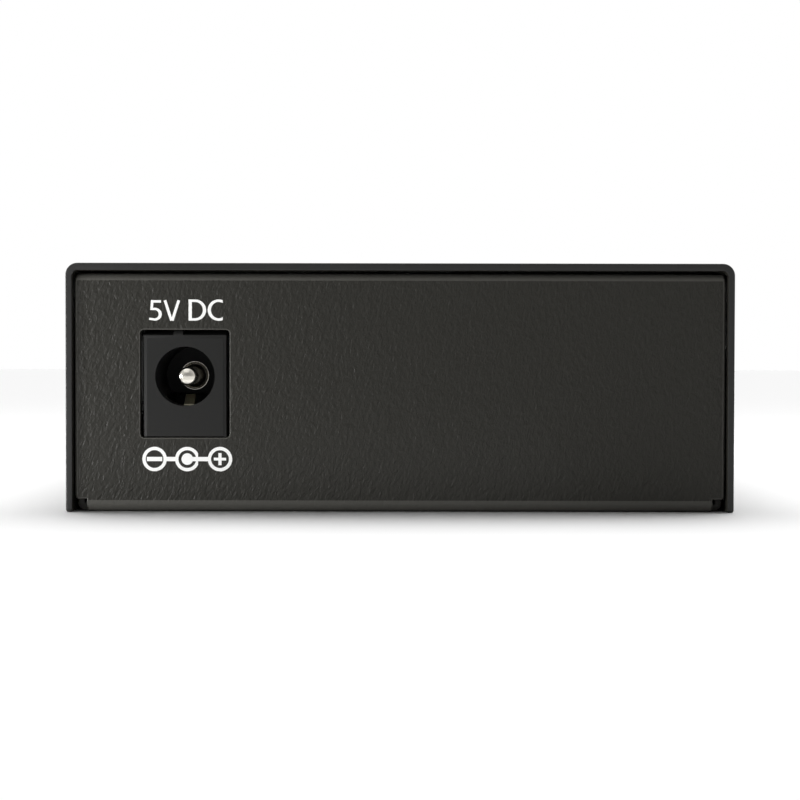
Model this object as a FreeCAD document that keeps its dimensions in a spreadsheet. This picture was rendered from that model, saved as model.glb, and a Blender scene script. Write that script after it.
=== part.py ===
"""Fibre media converter: a small folded-steel box with a barrel power jack at the rear and
an RJ45 socket, a duplex fibre port and status lamps at the front.

+X is to the right of the rear face, the rear face looks towards -Y and +Z is up. The origin
is on the surface that the box stands on, under the middle of the case.
"""
import FreeCAD, Part
import Sketcher
import math
import os
import re

SIZES = {
    # case
    "case_width": 72.0,
    "case_length": 94.0,
    "case_height": 26.8,
    "sheet": 0.8,
    "cover_bend": 1.3,
    "tray_bend": 0.9,
    "side_gap": 0.2,
    "top_gap": 0.3,
    "panel_recess": 0.5,
    "edge_break": 0.25,
    "top_flange": 6.0,
    "relief_width": 1.2,
    "relief_height": 1.35,
    "flange_setback": 0.5,
    "flange_height": 8.5,
    "ear_height": 18.0,
    "ear_width": 11.0,
    # cover vents
    "vent_width": 1.7,
    "vent_height": 9.0,
    "vent_pitch": 4.2,
    "vent_count": 8,
    "vent_centre": 15.0,
    # screws
    "screw_radius": 1.5,
    "screw_clearance": 0.05,
    "head_radius": 2.75,
    "head_clearance": 0.08,
    "cover_screw_length": 4.2,
    "cover_screw_spacing": 58.0,
    "cover_screw_height": 14.0,
    "cross_span": 2.8,
    "cross_width": 0.6,
    "cross_depth": 0.8,
    "board_screw_length": 5.0,
    "board_head_height": 1.9,
    # circuit board and what it stands on
    "board_lift": 5.7,
    "board_thick": 1.6,
    "board_side_gap": 0.7,
    "board_end_gap": 0.7,
    "board_corner": 1.0,
    "standoff_side_inset": 4.0,
    "standoff_rear_inset": 18.0,
    "standoff_front_gap": 4.0,
    "standoff_flats": 5.5,
    "foot_clearance": 0.05,
    "lead_clearance": 0.1,
    "lead_reach": 1.6,
    # power jack
    "jack_x": -23.2,
    "jack_width": 9.0,
    "jack_height": 11.0,
    "jack_length": 14.2,
    "jack_axis_height": 6.5,
    "jack_collar": 3.4,
    "jack_face_set": 0.1,
    "jack_bevel": 0.35,
    "jack_bore": 3.2,
    "jack_bore_depth": 9.6,
    "jack_mouth_bevel": 0.25,
    "window_side_gap": 0.3,
    "window_top_gap": 0.5,
    "window_foot_gap": 0.1,
    "window_corner": 0.4,
    "jack_lug_width": 1.0,
    "jack_lug_offset": -0.75,
    "jack_lug_height": 0.35,
    "jack_lug_length": 1.6,
    "pin_radius": 1.02,
    "pin_dome": 0.8,
    "pin_tail_radius": 0.75,
    "pin_set": 1.8,
    "pin_root_radius": 1.6,
    "pin_root_length": 0.35,
    "blade_width": 2.4,
    "blade_thick": 0.8,
    "spring_width": 1.1,
    "spring_thick": 0.3,
    "spring_rise": 2.0,
    "spring_crest": 5.4,
    "spring_ramp": 4.6,
    "spring_nose": 1.65,
    "slot_width": 4.4,
    "slot_top": 1.7,
    "slot_floor": 1.4,
    "slot_start": 2.4,
    "slot_end": 12.4,
    "switch_width": 2.0,
    "switch_thick": 0.3,
    "switch_set": 8.2,
    # front sockets
    "port_face_set": 0.2,
    "port_gap": 0.3,
    "socket_x": -20.0,
    "socket_width": 15.9,
    "socket_height": 13.4,
    "socket_length": 21.3,
    "shield_thick": 0.25,
    "shield_gap": 0.05,
    "plug_width": 11.8,
    "plug_height": 6.9,
    "plug_top_wall": 1.5,
    "key_width": 6.3,
    "key_height": 1.6,
    "latch_width": 3.4,
    "latch_height": 1.3,
    "plug_depth": 13.6,
    "wire_count": 8,
    "wire_pitch": 1.02,
    "wire_width": 0.4,
    "wire_thick": 0.3,
    "wire_channel": 0.5,
    "wire_entry": 3.4,
    "wire_drop": 3.3,
    "wire_run": 6.8,
    "peg_width": 1.4,
    "peg_length": 3.0,
    "peg_spacing": 11.4,
    "peg_set": 12.0,
    "finger_width": 2.2,
    "finger_length": 4.6,
    "finger_rise": 0.25,
    # fibre port
    "fibre_x": 13.8,
    "fibre_width": 25.4,
    "fibre_port_height": 10.9,
    "fibre_port_length": 15.2,
    "fibre_case_height": 9.8,
    "fibre_case_length": 23.9,
    "fibre_pitch": 12.7,
    "fibre_plug_width": 9.2,
    "fibre_plug_height": 7.6,
    "fibre_plug_depth": 13.6,
    "fibre_floor": 1.6,
    "fibre_key_width": 2.6,
    "fibre_key_height": 0.8,
    "ferrule_radius": 1.25,
    "sleeve_radius": 2.3,
    "sleeve_length": 8.2,
    "latch_base": 1.0,
    "latch_arm_gap": 3.0,
    "latch_arm_thick": 0.9,
    "latch_arm_height": 3.6,
    "latch_arm_length": 8.6,
    "latch_hook": 0.6,
    "case_groove": 0.6,
    "pin_count": 9,
    "pin_pitch": 2.54,
    "port_pin_size": 0.5,
    # status lamps
    "lamp_x": -5.45,
    "lamp_width": 4.0,
    "lamp_height": 1.9,
    "lamp_bevel": 0.2,
    "lamp_clearance": 0.1,
    "lamp_columns": 2,
    "lamp_rows": 3,
    "lamp_pitch_x": 5.2,
    "lamp_pitch_z": 3.8,
    "lamp_low": 3.0,
    "lamp_proud": 0.3,
    "holder_length": 3.6,
    "holder_wall": 0.8,
    "lamp_lead": 0.45,
    "lamp_lead_gap": 1.27,
    "lamp_lead_run": 1.6,
    # parts on the board
    "chip_x": -6.0,
    "chip_y": -6.0,
    "chip_size": 14.0,
    "chip_height": 1.4,
    "chip_lift": 0.1,
    "chip_leads": 7,
    "chip_lead_pitch": 1.27,
    "chip_lead_width": 0.35,
    "chip_lead_thick": 0.15,
    "chip_lead_reach": 1.0,
    "transformer_x": -16.5,
    "transformer_gap": 3.9,
    "transformer_width": 12.8,
    "transformer_depth": 7.2,
    "transformer_height": 5.8,
    "transformer_leads": 8,
    "transformer_pitch": 1.27,
    "crystal_x": 12.0,
    "crystal_y": -9.0,
    "crystal_length": 11.0,
    "crystal_radius": 2.3,
    "crystal_height": 3.5,
    "crystal_rim": 0.4,
    "regulator_x": -3.0,
    "regulator_inset": 15.0,
    "regulator_width": 6.5,
    "regulator_depth": 3.5,
    "regulator_height": 1.7,
    "regulator_tab": 3.0,
    "inductor_x": 8.0,
    "inductor_inset": 15.0,
    "inductor_size": 7.0,
    "inductor_height": 4.0,
    "inductor_corner": 1.4,
    "inductor_core": 2.5,
    "can_x": 19.0,
    "can_inset": 11.0,
    "can_radius": 3.15,
    "can_height": 7.7,
    "can_pitch": 8.0,
    "can_count": 2,
    "can_base": 0.9,
    "fuse_x": -13.0,
    "fuse_inset": 9.0,
    "fuse_length": 4.6,
    "fuse_width": 3.2,
    "fuse_height": 1.0,
    "diode_x": -13.0,
    "diode_inset": 16.0,
    "diode_length": 4.4,
    "diode_width": 2.6,
    "diode_height": 2.1,
    "memory_x": 12.0,
    "memory_y": -20.0,
    "memory_length": 5.0,
    "memory_width": 3.9,
    "memory_height": 1.5,
    "small_x": -24.0,
    "small_inset": 25.0,
    "small_length": 2.0,
    "small_width": 1.25,
    "small_height": 0.6,
    "small_pitch_x": 4.0,
    "small_pitch_y": 4.2,
    "small_columns": 3,
    "small_rows": 3,
    "terminal": 0.4,
}

TRAY_HALF = "(case_width / 2 - sheet - side_gap)"
TRAY_TOP = "(case_height - sheet - top_gap)"
PANEL = "(case_length / 2 - panel_recess)"
FLANGE_END = f"({PANEL} - sheet - flange_setback)"
SINK_RADIUS = "(screw_radius + sheet + side_gap)"
BOARD_UNDER = "(sheet + board_lift)"
BOARD_TOP = f"({BOARD_UNDER} + board_thick)"
BOARD_HALF_X = f"({TRAY_HALF} - sheet - board_side_gap)"
BOARD_HALF_Y = f"({PANEL} - sheet - board_end_gap)"
LEAD_LOW = f"({BOARD_UNDER} - lead_reach)"
JACK_FACE = f"(jack_face_set - {PANEL})"
JACK_BACK = f"({JACK_FACE} + jack_length)"
JACK_AXIS = f"({BOARD_TOP} + jack_axis_height)"
SPRING_LEG = f"({JACK_FACE} + slot_end - spring_thick)"
PORT_FACE = f"({PANEL} - port_face_set)"
SOCKET_BACK = f"({PORT_FACE} - socket_length)"
SOCKET_TOP = f"({BOARD_TOP} + socket_height)"
PLUG_TOP = f"({SOCKET_TOP} - shield_thick - shield_gap - plug_top_wall)"
FIBRE_LEFT = "(fibre_x - fibre_pitch / 2)"
FIBRE_RIGHT = "(fibre_x + fibre_pitch / 2)"
FIBRE_AXIS = f"({BOARD_TOP} + fibre_floor + fibre_plug_height / 2)"
FIBRE_BACK = f"({PORT_FACE} - fibre_port_length)"
FERRULE_ROOT = f"({PORT_FACE} - fibre_plug_depth)"
CASE_BACK = f"({FIBRE_BACK} - fibre_case_length)"
LAMP_LOW = f"({BOARD_TOP} + lamp_low)"
HOLDER_FACE = f"({PANEL} - sheet - port_gap)"
HOLDER_BACK = f"({HOLDER_FACE} - holder_length)"
STANDOFF_X = f"({BOARD_HALF_X} - standoff_side_inset)"
STANDOFF_REAR = f"(standoff_rear_inset - {BOARD_HALF_Y})"
STANDOFF_FRONT = f"({CASE_BACK} - standoff_front_gap)"
REGULATOR_Y = f"(regulator_inset - {BOARD_HALF_Y})"
INDUCTOR_Y = f"(inductor_inset - {BOARD_HALF_Y})"
CAN_Y = f"(can_inset - {BOARD_HALF_Y})"
FUSE_Y = f"(fuse_inset - {BOARD_HALF_Y})"
DIODE_Y = f"(diode_inset - {BOARD_HALF_Y})"
SMALL_Y = f"(small_inset - {BOARD_HALF_Y})"
TRANSFORMER_Y = f"({SOCKET_BACK} - transformer_gap - chip_lead_reach - transformer_depth / 2)"


document = FreeCAD.newDocument("media_converter")
sheet_cells = document.addObject("Spreadsheet::Sheet", "sizes")
for row, (size_name, size) in enumerate(SIZES.items(), 1):
    sheet_cells.set(f"A{row}", size_name)
    sheet_cells.set(f"B{row}", str(size))
    sheet_cells.setAlias(f"B{row}", size_name)
document.recompute()


def linked(expression):
    """Point every size in an expression at its cell of the spreadsheet."""
    return re.sub(
        r"[a-z_][a-z_0-9]*",
        lambda word: "sizes." + word[0] if word[0] in SIZES else word[0],
        str(expression),
    )


def value(expression):
    """The number that an expression of sizes comes to."""
    return float(sheet_cells.evalExpression(linked(expression)))


def bind(thing, prop, expression):
    thing.setExpression(prop, linked(expression))


def new_body(label):
    body = document.addObject("PartDesign::Body", label)
    body.Label = label
    return body


def origin_part(body, role):
    return [part for part in body.Origin.OriginFeatures if part.Role == role][0]


def feature(body, kind, name):
    made = body.newObject(kind, name)
    body.Tip = made
    return made


def rectangle(left, low, right, high):
    return [(left, low), (right, low), (right, high), (left, high)]


def centred(x, y, width, height):
    return rectangle(
        f"{x} - {width} / 2", f"{y} - {height} / 2", f"{x} + {width} / 2", f"{y} + {height} / 2"
    )


def fix_coordinates(sketch, levels):
    """Hold coordinates of sketch points, each given as kind, geometry, point and expression."""
    constraints = [Sketcher.Constraint(kind, -1, 1, geometry, point, value(expression))
                   for kind, geometry, point, expression in levels]
    numbers = sketch.addConstraint(constraints)
    for number, (kind, geometry, point, expression) in zip(numbers, levels):
        name = f"{kind[-1].lower()}_{geometry}_{point}"
        sketch.renameConstraint(number, name)
        bind(sketch, "Constraints." + name, expression)


def fix_point(sketch, geometry, point, x, y):
    fix_coordinates(sketch, [("DistanceX", geometry, point, x), ("DistanceY", geometry, point, y)])


def set_radius(sketch, geometry, radius):
    number = sketch.addConstraint(Sketcher.Constraint("Radius", geometry, value(radius)))
    name = f"radius_{geometry}"
    sketch.renameConstraint(number, name)
    bind(sketch, "Constraints." + name, radius)


def draw_polygon(sketch, corners):
    first = sketch.GeometryCount
    spots = [FreeCAD.Vector(value(x), value(y), 0) for x, y in corners]
    ends = spots[1:] + spots[:1]
    sketch.addGeometry([Part.LineSegment(*line) for line in zip(spots, ends)], False)
    numbers = range(first, first + len(corners))
    following = [*numbers[1:], first]
    sketch.addConstraint([Sketcher.Constraint("Coincident", number, 2, after, 1)
                          for number, after in zip(numbers, following)])
    levels = []
    for number, (x, y) in zip(numbers, corners):
        levels += [("DistanceX", number, 1, x), ("DistanceY", number, 1, y)]
    fix_coordinates(sketch, levels)


def draw_circle(sketch, x, y, radius):
    number = sketch.GeometryCount
    centre = FreeCAD.Vector(value(x), value(y), 0)
    circle = Part.Circle(centre, FreeCAD.Vector(0, 0, 1), value(radius))
    sketch.addGeometry(circle, False)
    fix_point(sketch, number, 3, x, y)
    set_radius(sketch, number, radius)


def draw_half_circle(sketch, x, y, radius, start):
    number = sketch.GeometryCount
    centre = FreeCAD.Vector(value(x), value(y), 0)
    circle = Part.Circle(centre, FreeCAD.Vector(0, 0, 1), value(radius))
    sketch.addGeometry(Part.ArcOfCircle(circle, start, start + math.pi), False)
    fix_point(sketch, number, 3, x, y)
    set_radius(sketch, number, radius)
    return number


def draw_line(sketch, start, end):
    number = sketch.GeometryCount
    spots = [FreeCAD.Vector(value(x), value(y), 0) for x, y in (start, end)]
    sketch.addGeometry(Part.LineSegment(*spots), False)
    return number


def tie(sketch, kind, *numbers):
    sketch.addConstraint(Sketcher.Constraint(kind, *numbers))


def draw_slot(sketch, x, low, high, radius):
    """An upright slot with round ends, whose centres are at the low and high levels."""
    left, right = f"{x} - {radius}", f"{x} + {radius}"
    top = draw_half_circle(sketch, x, high, radius, 0)
    side = draw_line(sketch, (left, high), (left, low))
    foot = draw_half_circle(sketch, x, low, radius, math.pi)
    other = draw_line(sketch, (right, low), (right, high))
    for first, second in ((top, side), (side, foot), (foot, other), (other, top)):
        tie(sketch, "Tangent", first, 2, second, 1)


def draw_arch(sketch, x, low, centre_height, radius):
    """An upright outline with a flat foot and a half-round top."""
    left, right = f"{x} - {radius}", f"{x} + {radius}"
    top = draw_half_circle(sketch, x, centre_height, radius, 0)
    side = draw_line(sketch, (left, centre_height), (left, low))
    foot = draw_line(sketch, (left, low), (right, low))
    other = draw_line(sketch, (right, low), (right, centre_height))
    tie(sketch, "Tangent", top, 2, side, 1)
    tie(sketch, "Coincident", side, 2, foot, 1)
    tie(sketch, "Coincident", foot, 2, other, 1)
    tie(sketch, "Tangent", other, 2, top, 1)
    tie(sketch, "Vertical", side)
    tie(sketch, "Horizontal", foot)
    tie(sketch, "Vertical", other)
    fix_coordinates(sketch, [("DistanceY", foot, 1, low)])


def new_sketch(body, plane, depth, name, shift=("0", "0")):
    """A sketch parallel to an origin plane, moved along that plane's axis to a depth."""
    sketch = body.newObject("Sketcher::SketchObject", name)
    sketch.AttachmentSupport = [(origin_part(body, plane), "")]
    sketch.MapMode = "FlatFace"
    facing = "-1" if plane == "XZ_Plane" else "1"
    bind(sketch, ".AttachmentOffset.Base.x", shift[0])
    bind(sketch, ".AttachmentOffset.Base.y", shift[1])
    bind(sketch, ".AttachmentOffset.Base.z", f"{facing} * ({depth})")
    return sketch


def extrude(body, name, plane, start, end, polygons=(), circles=(), slots=(), arches=(),
            cut=False):
    """Add or cut a prism that runs from start to end along its plane's axis."""
    sketch = new_sketch(body, plane, start, name + "_outline")
    for corners in polygons:
        draw_polygon(sketch, corners)
    for draw, shapes in ((draw_circle, circles), (draw_slot, slots), (draw_arch, arches)):
        for shape in shapes:
            draw(sketch, *shape)
    prism = feature(body, "PartDesign::Pocket" if cut else "PartDesign::Pad", name)
    prism.Profile = sketch
    backward = plane == "XZ_Plane"
    prism.Reversed = backward != cut
    bind(prism, "Length", f"({end}) - ({start})")
    return prism


def revolve(body, name, plane, depth, shift, polygons, turn_axis, cut=False):
    """Turn profiles about an axis through the sketch's shifted origin."""
    sketch = new_sketch(body, plane, depth, name + "_outline", shift)
    for corners in polygons:
        draw_polygon(sketch, corners)
    kind = "PartDesign::Groove" if cut else "PartDesign::Revolution"
    turned = feature(body, kind, name)
    turned.Profile = sketch
    turned.ReferenceAxis = (sketch, [turn_axis])
    turned.Angle = 360
    return turned


def named_edges(body, axis, places):
    """Names of the straight edges along an axis that pass through the given places."""
    document.recompute()
    across = [index for index in range(3) if "XYZ"[index] != axis]
    along = "XYZ".index(axis)
    wanted = [(value(first), value(second)) for first, second in places]
    names = []
    for number, edge in enumerate(body.Tip.Shape.Edges, 1):
        start, end = edge.firstVertex().Point, edge.lastVertex().Point
        if abs(start[along] - end[along]) < 0.05 or edge.Curve.TypeId != "Part::GeomLine":
            continue
        for place in wanted:
            offsets = [abs(start[index] - spot) + abs(end[index] - spot)
                       for index, spot in zip(across, place)]
            if max(offsets) < 0.01:
                names.append(f"Edge{number}")
    return names


def dress(body, kind, name, axis, places, size):
    """Round or bevel straight edges along an axis."""
    names = named_edges(body, axis, places)
    base = body.Tip
    made = feature(body, kind, name)
    made.Base = (base, names)
    bind(made, "Size" if kind.endswith("Chamfer") else "Radius", size)
    return made


def fillet(body, name, axis, places, radius):
    return dress(body, "PartDesign::Fillet", name, axis, places, radius)


def chamfer(body, name, axis, places, size):
    return dress(body, "PartDesign::Chamfer", name, axis, places, size)


def set_pattern(pattern, body, axis, pitch, count):
    pattern.Direction = (origin_part(body, axis + "_Axis"), [""])
    pattern.Mode = "Spacing"
    bind(pattern, "Offset", pitch)
    bind(pattern, "Occurrences", count)


def repeat(body, name, features, axis, pitch, count):
    """Repeat features along an axis."""
    pattern = feature(body, "PartDesign::LinearPattern", name)
    pattern.Originals = features
    set_pattern(pattern, body, axis, pitch, count)


def repeat_whole(body, name, axis, pitch, count):
    """Repeat everything in the body along an axis."""
    pattern = feature(body, "PartDesign::LinearPattern", name)
    pattern.TransformMode = "Whole shape"
    set_pattern(pattern, body, axis, pitch, count)


def mirror(body, name, features, plane):
    mirrored = feature(body, "PartDesign::Mirrored", name)
    mirrored.Originals = features
    mirrored.MirrorPlane = (origin_part(body, plane), [""])


def mirror_whole(body, name, plane):
    mirrored = feature(body, "PartDesign::Mirrored", name)
    mirrored.TransformMode = "Whole shape"
    mirrored.MirrorPlane = (origin_part(body, plane), [""])


def pairs(firsts, seconds):
    return [(first, second) for first in firsts for second in seconds]


def both_sides(corners):
    """An outline and its mirror image across the middle of the case."""
    return [corners, [(f"-({x})", y) for x, y in corners]]


def make_top_cover():
    """Sheet folded into a roof and two side walls, with vents and countersunk holes."""
    body = new_body("top_cover")
    outer, inner, ceiling = "case_width / 2", "(case_width / 2 - sheet)", "case_height - sheet"
    section = [
        (f"-{outer}", "0"), (f"-{outer}", "case_height"), (outer, "case_height"), (outer, "0"),
        (inner, "0"), (inner, ceiling), (f"-{inner}", ceiling), (f"-{inner}", "0"),
    ]
    extrude(body, "folded_sheet", "XZ_Plane", "-case_length / 2", "case_length / 2", [section])
    sides = (outer, f"-{outer}")
    inner_sides = (inner, f"-{inner}")
    fillet(body, "outer_bends", "Y", pairs(sides, ["case_height"]), "cover_bend")
    fillet(body, "inner_bends", "Y", pairs(inner_sides, [ceiling]), "cover_bend - sheet")
    fillet(body, "foot_edges", "Y", pairs(sides + inner_sides, ["0"]), "edge_break")
    first_vent = "-(vent_count - 1) / 2 * vent_pitch"
    vent = extrude(
        body, "vent", "YZ_Plane", f"-{outer} - sheet", f"{outer} + sheet",
        [centred(first_vent, "vent_centre", "vent_width", "vent_height")], cut=True,
    )
    repeat(body, "vent_row", [vent], "Y", "vent_pitch", "vent_count")
    reach = "(screw_radius + head_clearance)"
    hole = [
        (f"{outer} - 2 * sheet", "0"), (f"{outer} - 2 * sheet", reach),
        (f"{outer} - sheet - side_gap", reach),
        (f"{outer} + side_gap", f"{reach} + sheet + 2 * side_gap"), (f"{outer} + side_gap", "0"),
    ]
    hole_pair = revolve(
        body, "countersink", "XZ_Plane", "cover_screw_spacing / 2", ("0", "cover_screw_height"),
        both_sides(hole), "H_Axis", cut=True,
    )
    mirror(body, "countersinks", [hole_pair], "XZ_Plane")


def make_base_tray():
    """Sheet folded into a floor, two end panels with top flanges, and side flanges with ears."""
    body = new_body("base_tray")
    width, top, panel = TRAY_HALF, TRAY_TOP, PANEL
    section = [
        (f"-{panel}", "0"), (panel, "0"), (panel, top), (f"{panel} - top_flange", top),
        (f"{panel} - top_flange", f"{top} - sheet"), (f"{panel} - sheet", f"{top} - sheet"),
        (f"{panel} - sheet", "sheet"), (f"-{panel} + sheet", "sheet"),
        (f"-{panel} + sheet", f"{top} - sheet"), (f"-{panel} + top_flange", f"{top} - sheet"),
        (f"-{panel} + top_flange", top), (f"-{panel}", top),
    ]
    extrude(body, "folded_sheet", "YZ_Plane", f"-{width}", width, [section])
    ends = (f"-{panel}", panel)
    inner_ends = (f"-{panel} + sheet", f"{panel} - sheet")
    fillet(body, "outer_bends", "X", pairs(ends, ["0", top]), "tray_bend")
    fillet(body, "inner_bends", "X", pairs(inner_ends, ["sheet", f"{top} - sheet"]),
           "tray_bend - sheet")
    relief = rectangle(f"{width} - relief_width", "-sheet", f"{width} + sheet", "relief_height")
    extrude(body, "corner_reliefs", "XZ_Plane", "-case_length / 2", "case_length / 2",
            both_sides(relief), cut=True)
    flange = [
        (f"{width} - relief_width", "0"), (width, "0"), (width, "ear_height"),
        (f"{width} - sheet", "ear_height"), (f"{width} - sheet", "sheet"),
        (f"{width} - relief_width", "sheet"),
    ]
    extrude(body, "side_flanges", "XZ_Plane", f"-{FLANGE_END}", FLANGE_END, both_sides(flange))
    fillet(body, "flange_bends", "Y", pairs((width, f"-{width}"), ["0"]), "tray_bend")
    fillet(body, "flange_roots", "Y", pairs((f"{width} - sheet", f"-({width} - sheet)"), ["sheet"]),
           "tray_bend - sheet")
    ear_in = "(cover_screw_spacing / 2 - ear_width / 2)"
    ear_out = "(cover_screw_spacing / 2 + ear_width / 2)"
    clear_top = "ear_height + sheet"
    clear_end = f"{FLANGE_END} + flange_setback / 2"
    between = [
        rectangle(f"-{ear_in}", "flange_height", ear_in, clear_top),
        rectangle(ear_out, "flange_height", clear_end, clear_top),
        rectangle(f"-({clear_end})", "flange_height", f"-{ear_out}", clear_top),
    ]
    extrude(body, "ears", "YZ_Plane", f"-{width} - sheet", f"{width} + sheet", between, cut=True)
    ear_sides = (ear_in, ear_out, f"-{ear_in}", f"-{ear_out}")
    chamfer(body, "ear_corners", "X", pairs(ear_sides, ["ear_height"]), "2 * sheet")
    spots = pairs(("cover_screw_spacing / 2", "-cover_screw_spacing / 2"), ["cover_screw_height"])
    extrude(body, "screw_holes", "YZ_Plane", f"-{width} - sheet", f"{width} + sheet",
            circles=[(y, z, "screw_radius + screw_clearance") for y, z in spots], cut=True)
    jack_left = "jack_x - jack_width / 2 - window_side_gap"
    jack_right = "jack_x + jack_width / 2 + window_side_gap"
    jack_low = f"{BOARD_TOP} - window_foot_gap"
    jack_high = f"{BOARD_TOP} + jack_height + window_top_gap"
    extrude(body, "jack_window", "XZ_Plane", "-case_length / 2", f"-{panel} + 2 * sheet",
            [rectangle(jack_left, jack_low, jack_right, jack_high)], cut=True)
    fillet(body, "window_corners", "Y", pairs((jack_left, jack_right), (jack_low, jack_high)),
           "window_corner")
    openings = [
        rectangle(
            f"{x} - {width} / 2 - port_gap", f"{BOARD_TOP} - port_gap",
            f"{x} + {width} / 2 + port_gap", f"{BOARD_TOP} + {height} + port_gap",
        )
        for x, width, height in (("socket_x", "socket_width", "socket_height"),
                                 ("fibre_x", "fibre_width", "fibre_port_height"))
    ]
    openings += [lamp_outline(spot, "lamp_clearance") for spot in lamp_spots()]
    extrude(body, "front_openings", "XZ_Plane", f"{panel} - 2 * sheet", "case_length / 2",
            openings, cut=True)


def lamp_outline(spot, margin):
    """Front outline of one lamp, grown by a margin."""
    return centred(*spot, f"(lamp_width + 2 * {margin})", f"(lamp_height + 2 * {margin})")


def standoff_spots():
    """Places of the board's pillars: two near its rear edge and two behind the transceiver."""
    return pairs((f"-{STANDOFF_X}", STANDOFF_X), (STANDOFF_REAR, STANDOFF_FRONT))


def lamp_spots():
    """Places of the status lamps on the front panel, row by row."""
    columns, rows = int(value("lamp_columns")), int(value("lamp_rows"))
    return [
        (f"lamp_x + ({column} - (lamp_columns - 1) / 2) * lamp_pitch_x",
         f"{LAMP_LOW} + {row_number} * lamp_pitch_z")
        for row_number in range(rows) for column in range(columns)
    ]


def make_cover_screws():
    """Countersunk screws that hold the cover to the ears, one at each corner."""
    body = new_body("cover_screws")
    face = "case_width / 2"
    neck, tip = f"{face} - sheet - side_gap", f"{face} - cover_screw_length"
    profile = [
        (tip, "0"), (tip, "screw_radius"), (neck, "screw_radius"), (face, SINK_RADIUS), (face, "0"),
    ]
    revolve(body, "screw", "XZ_Plane", "cover_screw_spacing / 2", ("0", "cover_screw_height"),
            [profile], "H_Axis")
    for name, width, height in (("upright", "cross_width", "cross_span"),
                                ("level", "cross_span", "cross_width")):
        slot = centred("cover_screw_spacing / 2", "cover_screw_height", width, height)
        extrude(body, f"{name}_slot", "YZ_Plane", f"{face} - cross_depth", f"{face} + sheet",
                [slot], cut=True)
    mirror_whole(body, "other_end", "XZ_Plane")
    mirror_whole(body, "other_side", "YZ_Plane")


def make_board_standoffs():
    """Hexagonal threaded pillars welded to the floor."""
    body = new_body("board_standoffs")
    x, y = standoff_spots()[0]
    corner = 1 / math.sqrt(3)
    hexagon = [
        (f"{x} + standoff_flats * {corner * math.cos(turn * math.pi / 3):.6f}",
         f"{y} + standoff_flats * {corner * math.sin(turn * math.pi / 3):.6f}")
        for turn in range(6)
    ]
    extrude(body, "pillar", "XY_Plane", "sheet", BOARD_UNDER, [hexagon])
    extrude(body, "thread_bore", "XY_Plane", "2 * sheet", f"{BOARD_UNDER} + sheet",
            circles=[(x, y, "screw_radius + screw_clearance")], cut=True)
    repeat_whole(body, "across", "X", f"2 * {STANDOFF_X}", "2")
    repeat_whole(body, "along", "Y", f"{STANDOFF_FRONT} - {STANDOFF_REAR}", "2")


def make_board_screws():
    """Slotted cheese-head screws that clamp the board to its pillars."""
    body = new_body("board_screws")
    x, y = standoff_spots()[0]
    top, tip = f"({BOARD_TOP} + board_head_height)", f"({BOARD_TOP} - board_screw_length)"
    profile = [
        ("0", tip), ("screw_radius", tip), ("screw_radius", BOARD_TOP),
        ("head_radius", BOARD_TOP), ("head_radius", top), ("0", top),
    ]
    revolve(body, "screw", "XZ_Plane", y, (x, "0"), [profile], "V_Axis")
    extrude(body, "slot", "XY_Plane", f"{top} - cross_depth", f"{top} + sheet",
            [centred(x, y, "3 * head_radius", "cross_width")], cut=True)
    repeat_whole(body, "across", "X", f"2 * {STANDOFF_X}", "2")
    repeat_whole(body, "along", "Y", f"{STANDOFF_FRONT} - {STANDOFF_REAR}", "2")


def wire_spots():
    """Across positions of the RJ45 contact wires."""
    count = int(value("wire_count"))
    return [f"socket_x + ({number} - (wire_count - 1) / 2) * wire_pitch" for number in range(count)]


def port_pins():
    """Low outlines of the transceiver's row of square pins."""
    count = int(value("pin_count"))
    row_y = f"({CASE_BACK} + pin_pitch)"
    return [centred(f"(fibre_x + ({number} - (pin_count - 1) / 2) * pin_pitch)", row_y,
                    "port_pin_size", "port_pin_size") for number in range(count)]


def socket_pegs():
    """Low outlines of the RJ45 insert's two locating pegs."""
    return [centred(f"(socket_x {sign} peg_spacing / 2)", f"({PORT_FACE} - peg_set)",
                    "peg_width", "peg_length") for sign in "-+"]


def wire_ends():
    """Low outlines of the RJ45 contact wires where they pass through the board."""
    back = f"({SOCKET_BACK} + shield_thick + shield_gap + foot_clearance)"
    return [rectangle(f"{x} - wire_width / 2", back, f"{x} + wire_width / 2",
                      f"{back} + wire_thick") for x in wire_spots()]


def lamp_lead_ends():
    """Low outlines of the lamps' leads where they pass through the board."""
    return [rectangle(f"{x} - lamp_lead / 2", bend, f"{x} + lamp_lead / 2", f"{bend} + lamp_lead")
            for x, bend, level in lamp_lead_spots()]


def shield_legs():
    """Low outlines of the shield's legs, which pass through the board."""
    outer = "socket_width / 2"
    inner = "(socket_width / 2 - shield_thick)"
    levels = [f"{PORT_FACE} - peg_set * 0.5", f"{PORT_FACE} - peg_set * 1.5"]
    return [
        rectangle(f"socket_x + {low}", f"{y} - wire_pitch / 2",
                  f"socket_x + {high}", f"{y} + wire_pitch / 2")
        for y in levels for low, high in ((inner, outer), (f"-{outer}", f"-{inner}"))
    ]


def lamp_lead_spots():
    """Where each lamp's two leads go down: across, from the front, and the lamp's level."""
    columns, rows = int(value("lamp_columns")), int(value("lamp_rows"))
    spots = []
    for row_number in range(rows):
        bend = f"({HOLDER_BACK} - lamp_lead_run * {row_number + 1})"
        level = f"({LAMP_LOW} + {row_number} * lamp_pitch_z)"
        for column in range(columns):
            middle = f"lamp_x + ({column} - (lamp_columns - 1) / 2) * lamp_pitch_x"
            spots += [(f"{middle} - lamp_lead_gap", bend, level),
                      (f"{middle} + lamp_lead_gap", bend, level)]
    return spots


def switch_blade():
    """Outline of the power jack's side terminal, seen from above."""
    side = "jack_x + jack_width / 2"
    return rectangle(side, f"{JACK_FACE} + switch_set - switch_width / 2",
                     f"{side} + switch_thick", f"{JACK_FACE} + switch_set + switch_width / 2")


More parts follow.
